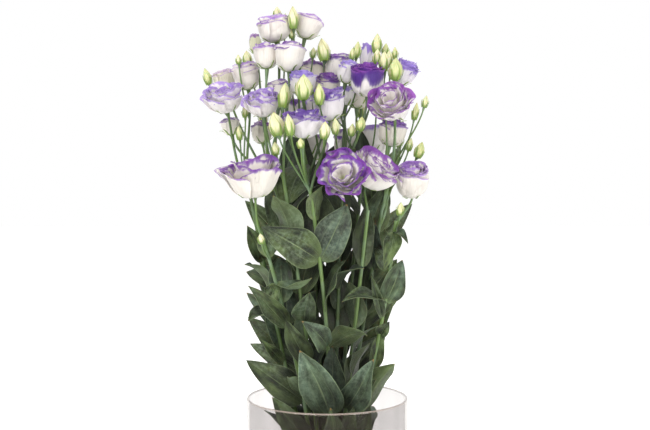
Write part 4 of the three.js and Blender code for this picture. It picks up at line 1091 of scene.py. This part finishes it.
class Shader:
    """A material, or the world, whose nodes are made by short calls. A value may be a
    number, a web colour or a signal."""

    def __init__(self, name, settings, kind="materials"):
        self.owner = getattr(bpy.data, kind).new(name)
        self.owner.use_nodes = True
        self.tree = self.owner.node_tree
        self.surface = self.tree.nodes["Background" if kind == "worlds" else "Principled BSDF"]
        self.set(self.surface, settings)

    def set(self, node, values):
        for key, value in values.items():
            if isinstance(value, Signal):
                self.tree.links.new(value.socket, node.inputs[key])
            else:
                node.inputs[key].default_value = colour(value) if isinstance(value, str) else value

    def out(self, kind, values, output=0, **settings):
        """What a new node gives out."""
        node = self.tree.nodes.new("ShaderNode" + kind)
        for key, value in settings.items():
            setattr(node, key, value)
        self.set(node, values)
        return Signal(self, node.outputs[output])

    def math(self, operation, a, b=0.0):
        return self.out("Math", {0: a, 1: b}, operation=operation)

    def step(self, value, low, high):
        values = {"Value": value, "From Min": low, "From Max": high}
        return self.out("MapRange", values, interpolation_type="SMOOTHSTEP")

    def mix(self, share, a, b):
        return self.out("Mix", {0: share, 6: a, 7: b}, 2, data_type="RGBA")

    def layered(self, body, *layers):
        """A body colour under layers that each have a share and a colour."""
        for share, over in layers:
            body = self.mix(share, body, over)
        return body

    def split(self, vector):
        node = self.out("SeparateXYZ", {0: vector}).socket.node
        return [Signal(self, socket) for socket in node.outputs]

    def join(self, x, y, z):
        return self.out("CombineXYZ", {0: x, 1: y, 2: z})

    def mark(self):
        """Along, across and own number of the blade."""
        return self.split(self.out("Attribute", {}, "Vector", attribute_name="mark"))

    def place(self):
        return self.out("TexCoord", {}, "Object")

    def path(self, question):
        return self.out("LightPath", {}, question)

    def noise(self, vector, scale, detail):
        return self.out("TexNoise", {"Vector": vector, "Scale": scale, "Detail": detail})

    def painted_middle_shade(self, inner, outer):
        """How bright growth is under painted shade: darker in the crowded middle of the bunch than
        round it.
        """
        x, y, z = self.split(self.place())
        flat = self.out("VectorMath", {0: self.join(x, y, 0)}, "Value", operation="LENGTH")
        low, high = [radius * MM for radius in CROWDED_RADIUS]
        return self.step(flat, low, high) * (outer - inner) + inner

    def seen(self):
        """1 for what the camera sees, also where it sees it through clear surfaces alone."""
        direct = self.math("GREATER_THAN", self.path("Is Singular Ray"), self.path("Diffuse Depth"))
        return self.math("MAXIMUM", self.path("Is Camera Ray"), direct)

    def paint(self, body, **toned):
        """Sets the base colour, toned by a value and a saturation where they are given."""
        if toned:
            body = self.out("HueSaturation", {"Color": body, **toned})
        self.set(self.surface, {"Base Color": body})

    def bump(self, height, distance, strength):
        values = {"Height": height, "Distance": distance, "Strength": strength}
        self.set(self.surface, {"Normal": self.out("Bump", values)})

    def lit(self):
        return Signal(self, self.surface.outputs[0])

    def clear(self, tint):
        return self.out("BsdfTransparent", {"Color": tint})

    def show(self, share, first, second):
        """Shows the first of two surfaces with a share of the second over it."""
        output = next(node for node in self.tree.nodes if node.type.startswith("OUTPUT"))
        self.set(output, {"Surface": self.out("MixShader", {0: share, 1: first, 2: second})})


def petal_material(name, body, edge, width, inner_width, back, streaked, patchy, haze):
    """Pale petal with a coloured edge of uneven width that is wider on its inner face."""
    shader = Shader(name, {
        "Roughness": 0.55, "Sheen Weight": 0.1, "Sheen Roughness": 0.4,
        "Subsurface Weight": 0.4, "Subsurface Radius": (1.0, 0.92, 0.95), "Subsurface Scale": 0.006,
    })
    along, across, number = shader.mark()
    coded = number.rest() * DEPTHS
    depth, seed = coded.whole(), coded.rest() * 37
    streaks = shader.noise(shader.join(along * 1.2, across * 7, seed), 1.4, 2.5)
    spots = shader.noise(shader.join(along * 0.4, across * 1.6, seed), 1.5, 1) - 0.5
    veins = shader.noise(shader.join(along, across * 14, seed), 2.2, 3)
    widths = {"Value": depth, "From Max": 3, "To Min": width, "To Max": inner_width}
    reach = shader.out("MapRange", widths) * shader.math("MAXIMUM", spots * (5 * patchy) + 1, 0.12)
    shown = 1 - number.whole() * (1 - back)
    reach = (reach + (streaks - 0.5) * (streaked * 2)) * shown
    from_tip = 1 - along
    inward = shader.math("MINIMUM", from_tip, (1 - abs(across)) * 0.8 + from_tip * 0.9)
    beyond = reach - inward
    paler = shader.mix(0.22, edge, "#e4d3f2")
    margin = shader.mix(shader.step(beyond + streaks * 0.1, 0.16, 0), edge, paler)
    painted = shader.layered(
        body,
        (shader.step(along, 0.38, 0), "#c9d394"),
        (shader.step(along + streaks, 0.7, 1.7) * haze, edge),
        (shader.step(beyond, -0.05, 0.03), margin),
    )
    shader.paint(painted, Value=(veins - 0.5) * 0.2 + 1)
    shader.bump(veins, 0.0011, 0.7)
    return shader.owner


def leaf_material():
    """Waxy leaf between blue-grey and olive, with paler veins and margin and a paler
    underside."""
    shader = Shader("leaf", {
        "Specular IOR Level": 0.35, "Sheen Weight": 0.05, "Sheen Roughness": 0.5,
        "Sheen Tint": "#b8cbc8", "Subsurface Weight": 0.04, "Subsurface Scale": 0.002,
    })
    along, across, number = shader.mark()
    single, reach = number.rest(), abs(across)
    seed = single * 53
    spread = shader.join(along * 2.2, across, seed)
    clouds = shader.noise(spread, 1.4, 5)
    patches = shader.noise(spread, 0.7, 2)
    flecks = shader.noise(spread, 9, 1)
    thread = shader.noise(shader.join(along * 3, across * 9, seed), 1.6, 2)
    grain = shader.noise(shader.place(), 260, 3)
    cloudy = shader.step(clouds, 0.3, 0.75)
    olive = shader.mix(cloudy, "#10180a", "#57683d")
    slate = shader.mix(cloudy, "#101b17", "#4b5e56")
    middle = shader.step(reach, along * 0.05 + 0.035, 0.012) * shader.step(along, 1.1, 0.3)
    beside = abs(reach + (clouds - 0.5) * 0.07 - 0.42)
    side_vein = shader.step(beside, 0.05, 0.008) * shader.step(along, 0.85, 0.2) * 0.35
    threads = shader.step(abs(thread - 0.5), 0.03, 0) * 0.3
    veins = shader.math("MAXIMUM", middle, shader.math("MAXIMUM", side_vein, threads))
    body = shader.layered(
        olive,
        (shader.step(single * 0.7 + patches * 0.9, 0.7, 1.45), slate),
        (shader.step(grain, 0.35, 0.75) * shader.step(patches, 0.35, 0.7) * 0.4, "#84957f"),
        (shader.step(flecks, 0.7, 0.78) * 0.5, "#141c12"),
        (veins * 0.5, "#8b9b74"),
        (shader.step(reach, 0.94, 1) * 0.45, "#8c9d76"),
        (shader.step(along, 0.2, 0) * 0.4, "#7f9160"),
        (shader.step(along, 0.965, 1) * shader.step(single, 0.55, 0.7), "#8a6a3c"),
    )
    underside = shader.mix(0.35, body, "#6b7a52")
    body = shader.mix(number.whole() * 0.85, body, underside)
    value = grain * 0.3 + 0.44 + (single * 7.3).rest() * 0.5
    # Random tone per leaf, times painted shade that darkens leaves in the crowded middle of the bunch
    shader.paint(body, Value=value * shader.painted_middle_shade(0.34, 1.16), Saturation=1.05)
    shader.set(shader.surface, {"Roughness": clouds * 0.24 + 0.38})
    shader.bump(veins * -0.7 + clouds, 0.0012, 0.7)
    return shader.owner


def stem_material():
    """Green stem with darker streaks along it, a greyish bloom in patches and faint ridges."""
    shader = Shader("stem", {"Roughness": 0.5})
    along, across, own = shader.mark()
    streaks = shader.noise(shader.join(along * 3, across * 6, own * 31), 1.5, 3)
    clouds = shader.noise(shader.place(), 45, 2)
    body = shader.layered(
        shader.mix(own, "#4f6a2c", "#6f8a45"),
        (shader.step(streaks, 0.3, 0.72), "#3f5532"),
        (shader.step(clouds, 0.42, 0.7) * 0.5, "#6f8574"),
    )
    # Painted shade: stems are darker in the crowded middle of the bunch
    shader.paint(body, Value=shader.painted_middle_shade(0.62, 1.15))
    shader.bump(streaks, 0.0006, 0.6)
    return shader.owner


def sepal_material():
    shader = Shader("sepal", {"Roughness": 0.5})
    along, across, own = shader.mark()
    middle = shader.step(abs(across), 0.5, 0.1)
    shader.paint(shader.layered(
        shader.mix(own.rest(), "#5d7c33", "#86a047"),
        (shader.step(along, 0.55, 1), "#93a552"),
        (middle * 0.5, "#5c7a35"),
    ))
    shader.bump(middle, 0.0003, 0.5)
    return shader.owner


def bud_material():
    """Cream-green bud, greener at its foot and along the seams between its petals."""
    shader = Shader("bud", {"Roughness": 0.48, "Subsurface Weight": 0.2, "Subsurface Scale": 0.003})
    along, across, own = shader.mark()
    seam = abs(shader.math("SINE", (across * 2.5 + along * 0.76) * math.pi))
    streaks = shader.noise(shader.join(along * 1.5, across * 9, own * 23), 1.5, 3)
    shader.paint(shader.layered(
        shader.mix(own, "#d8d4b4", "#c0c48e"),
        (shader.step(streaks, 0.4, 0.85), "#a3ad6c"),
        (shader.step(seam, 0.4, 0) * 0.7, "#7f9248"),
        (shader.step(along, 0.36, 0.02), "#728a3e"),
        (shader.step(along, 0.85, 1) * 0.6, "#94a556"),
    ))
    shader.bump(streaks, 0.0003, 0.5)
    return shader.owner


def glass_material():
    """Thin clear glass with faint upright streaks that shines at its edges, and a warm rim."""
    shader = Shader("clear_glass", {
        "Base Color": "#a89a90", "Roughness": 0.06, "IOR": 1.5,
        "Coat Weight": 1.0, "Coat Roughness": 0.02,
    })
    x, y, z = shader.split(shader.place())
    streaks = shader.noise(shader.join(x * 60, y * 60, z), 1, 2)
    tint = shader.mix(shader.step(streaks, 0.35, 0.7), "#e5e4e4", "#e8e7e7")
    facing = shader.out("LayerWeight", {"Blend": 0.5}, "Facing")
    edge = shader.step(facing, 0.72, 1) * 0.4
    rim = shader.step(z, (VASE_HEIGHT - 2.5) * MM, (VASE_HEIGHT - 0.7) * MM) * 0.5
    shining = shader.math("MAXIMUM", edge, rim) + 0.02
    shader.show(shining, shader.clear(tint), shader.lit())
    return shader.owner


def water_material():
    """Clear water that lets lamps light what stands in it."""
    shader = Shader("clear_water", {"Roughness": 0.0, "IOR": 1.333, "Transmission Weight": 1.0})
    clouds = shader.noise(shader.place(), 6, 1)
    shader.paint(shader.mix(clouds, "#f2f7f5", "#ffffff"))
    shader.show(shader.path("Is Shadow Ray"), shader.lit(), shader.clear("#f2f0ee"))
    return shader.owner


def band_material():
    shader = Shader("elastic_band", {"Roughness": 0.7})
    grain = shader.noise(shader.place(), 900, 2)
    shader.paint(shader.mix(grain, "#b58a58", "#cfa876"))
    shader.bump(grain, 0.0003, 0.6)
    return shader.owner


# Pieces


def on_stem(name, parts):
    return [part for part in parts if part["stem"] == name]


def make_stems(blooms, buds, leaves):
    stem_look, leaf_look = stem_material(), leaf_material()
    sepal_look, bud_look = sepal_material(), bud_material()
    for number, (name, stem) in enumerate(STEMS.items(), start=1):
        random = random_from(STEM_SEED + number)
        stalks, blades, sepals, spindles = Surface(), Surface(), Surface(), Surface()
        lower = np.linspace(VASE_FLOOR + GAP, BAND_HEIGHT, STEM_STEPS[0])[:-1]
        heights = [*lower, *np.linspace(BAND_HEIGHT, top_height(stem), STEM_STEPS[1])]
        line = [stem_point(stem, height) for height in heights]
        radii = [stem_radius(stem, height) for height in heights]
        tube(stalks, line, radii, STEM_SIDES, own_number(random))
        for bloom in on_stem(name, blooms):
            line = curve_points(bloom["stalk"], BLOOM_STALK_STEPS)
            taper = mix(*BLOOM_STALK_TAPER, np.linspace(0, 1, len(line)))
            radii = [*BLOOM_STALK_RADIUS * taper[:-2], BLOOM_NECK_RADIUS, NECK_RADIUS]
            tube(stalks, line, radii, STALK_SIDES, own_number(random))
        for bud in on_stem(name, buds):
            line = curve_points(bud["stalk"], BUD_STALK_STEPS)
            taper = mix(*BUD_STALK_TAPER, np.linspace(0, 1, len(line)))
            radii = [*BUD_STALK_RADIUS * taper[:-1], BUD_NECK * bud["width"]]
            tube(stalks, line, radii, STALK_SIDES, own_number(random))
            add_bud(spindles, bud, random)
            outline = (np.array(BUD_RADII) * bud["width"], np.array(BUD_HEIGHTS) * bud["length"])
            long = BUD_SEPAL_LENGTH * bud["length"]
            add_sepals(sepals, bud["base"], bud["axis"], outline, long, BUD_SEPAL_SPREAD, random)
        for leaf in on_stem(name, leaves):
            grid, along, across = leaf_grid(leaf, random)
            sheet(blades, grid, LEAF_THICKNESS, along, across, own_number(random))
        stalks.make(name + "_stalks", stem_look, name, "foliage")
        blades.make(name + "_leaves", leaf_look, name, "foliage")
        if spindles.count:
            spindles.make(name + "_buds", bud_look, name, "foliage")
            sepals.make(name + "_sepals", sepal_look, name, "foliage")
    return sepal_look


def make_blooms(blooms, buds, sepal_look):
    looks = {name: petal_material("petal_" + name, *row) for name, row in LOOKS.items()}
    balls = balls_along(blooms, buds)
    for number, bloom in enumerate(blooms):
        name = bloom["name"]
        random = random_from(SEPAL_SEED + int(name[-2:]))
        petals, calyx = Surface(), Surface()
        middle = bloom["base"] + bloom["axis"] * bloom["tall"] / 2
        near = np.linalg.norm(balls[:, :3] - middle, axis=1) < bloom["width"]
        add_petals(petals, bloom, blooms, balls[near & (balls[:, 4] != number)])
        radii, heights = np.array(WHORLS[FORM[bloom["kind"]]][0][-1]).T
        outline = (radii * bloom["width"] / 2, heights * bloom["tall"])
        long, spread = 8 + 4 * random(), 0.6 + 0.6 * random()
        add_sepals(calyx, bloom["base"], bloom["axis"], outline, long, spread, random)
        petals.make(name + "_petals", looks[bloom["look"]], name, "petals")
        calyx.make(name + "_calyx", sepal_look, name, "petals")


def turned(name, profile, sides, material, node, slot):
    """A closed ring or pot turned round the middle axis. A profile's end on the axis is
    one point."""
    points, starts = [], []
    for radius, height in profile:
        ring = radius > 0
        starts.append((len(points), ring))
        for angle in circle(sides)[:sides if ring else 1]:
            points.append((radius * math.cos(angle), radius * math.sin(angle), height))
    faces = []
    closed = profile[0][0] > 0
    for first in range(len(profile) if closed else len(profile) - 1):
        low, low_ring = starts[first]
        high, high_ring = starts[(first + 1) % len(profile)]
        for k in range(sides):
            after = (k + 1) % sides
            corners = [low + k * low_ring, low + after * low_ring]
            corners += [high + after * high_ring, high + k * high_ring]
            faces.append(list(dict.fromkeys(corners)))
    surface = Surface()
    surface.add(np.array(points), faces, np.zeros((len(points), 3)))
    surface.make(name, material, node, slot)


def make_holder():
    inner, lip = VASE_RADIUS - VASE_WALL, VASE_WALL / 2
    rim = [
        (VASE_RADIUS - lip + lip * math.cos(turn), VASE_HEIGHT - lip + lip * math.sin(turn))
        for turn in np.linspace(0, math.pi, RIM_STEPS)
    ]
    vase = [(0, 0), (VASE_RADIUS - FOOT_ROUNDING, 0), (VASE_RADIUS - 0.6, 0.6)]
    vase += [(VASE_RADIUS, FOOT_ROUNDING), *rim, (inner, VASE_FLOOR + CORNER)]
    vase += [(inner - 1.2, VASE_FLOOR + 1.2), (inner - CORNER, VASE_FLOOR), (0, VASE_FLOOR)]
    turned("vase_glass", vase, VASE_SIDES, glass_material(), "vase", "glass")
    radius, bottom = inner - GAP, VASE_FLOOR + GAP
    water = [(0, bottom), (radius - CORNER, bottom), (radius, bottom + CORNER)]
    water += [(radius, WATER_LEVEL + 0.8), (radius - 1, WATER_LEVEL), (0, WATER_LEVEL)]
    turned("vase_water", water, VASE_SIDES, water_material(), "water", "water")
    high = BAND_HEIGHT - 1
    low = high - BAND_WIDTH
    near = OUTER_RING * mix(FOOT_SPREAD, 1, low / BAND_HEIGHT) + STEM_FOOT_RADIUS + GAP
    far = near + BAND_THICKNESS
    band = [(near, low + 0.4), (near + 0.5, low), (far - 0.5, low), (far, low + 0.5)]
    band += [(far, high - 0.5), (far - 0.5, high), (near + 0.5, high), (near, high - 0.4)]
    turned("stem_band", band, BAND_SIDES, band_material(), "band", "rubber_band")


# Stage


def area_light(name, place, size, power):
    light = bpy.data.lights.new(name, "AREA")
    light.shape = "RECTANGLE"
    light.size, light.size_y = size
    light.energy = power
    light.color = LAMP_COLOUR
    lamp = bpy.data.objects.new(name, light)
    bpy.context.scene.collection.objects.link(lamp)
    lamp.location = place
    aim = np.array(LAMP_TARGET) - place
    lamp.rotation_euler = (math.acos(-unit(aim)[2]), 0, math.atan2(-aim[0], aim[1]))


def make_stage():
    mesh = bpy.data.meshes.new("floor")
    ring = [
        (FLOOR_RADIUS * math.cos(angle), FLOOR_RADIUS * math.sin(angle), 0)
        for angle in circle(FLOOR_SIDES)
    ]
    mesh.from_pydata(ring, [], [list(range(FLOOR_SIDES))])
    shader = Shader("floor", {"Roughness": 0.9, "Emission Color": "#ffffff"})
    grain = shader.noise(shader.place(), 2, 1)
    shader.paint(shader.mix(grain, "#f4f4f3", "#f8f8f7"))
    shader.set(shader.surface, {"Emission Strength": shader.seen() * FLOOR_GLOW + FLOOR_GLOW})
    mesh.materials.append(shader.owner)
    floor = bpy.data.objects.new("floor", mesh)
    bpy.context.scene.collection.objects.link(floor)

    sky = Shader("studio", {"Color": "#ffffff", "Strength": SOFT_LIGHT}, "worlds")
    plain = sky.out("Background", {"Color": "#ffffff", "Strength": 1.0})
    sky.show(sky.seen(), sky.lit(), plain)
    bpy.context.scene.world = sky.owner
    for row in LAMPS:
        area_light(*row)


def make_camera():
    data = bpy.data.cameras.new("camera")
    data.lens = CAMERA_LENS
    data.sensor_width = SENSOR_WIDTH
    data.clip_start, data.clip_end = 0.05, 100
    camera = bpy.data.objects.new("camera", data)
    bpy.context.scene.collection.objects.link(camera)
    camera.location = [value * MM for value in CAMERA_PLACE]
    camera.rotation_euler = (math.pi / 2, 0, 0)
    bpy.context.scene.camera = camera
    bpy.context.scene.view_settings.view_transform = "Standard"


make_camera()
make_stage()
blooms, buds, leaves = plan_all()
sepal_look = make_stems(blooms, buds, leaves)
make_blooms(blooms, buds, sepal_look)
make_holder()
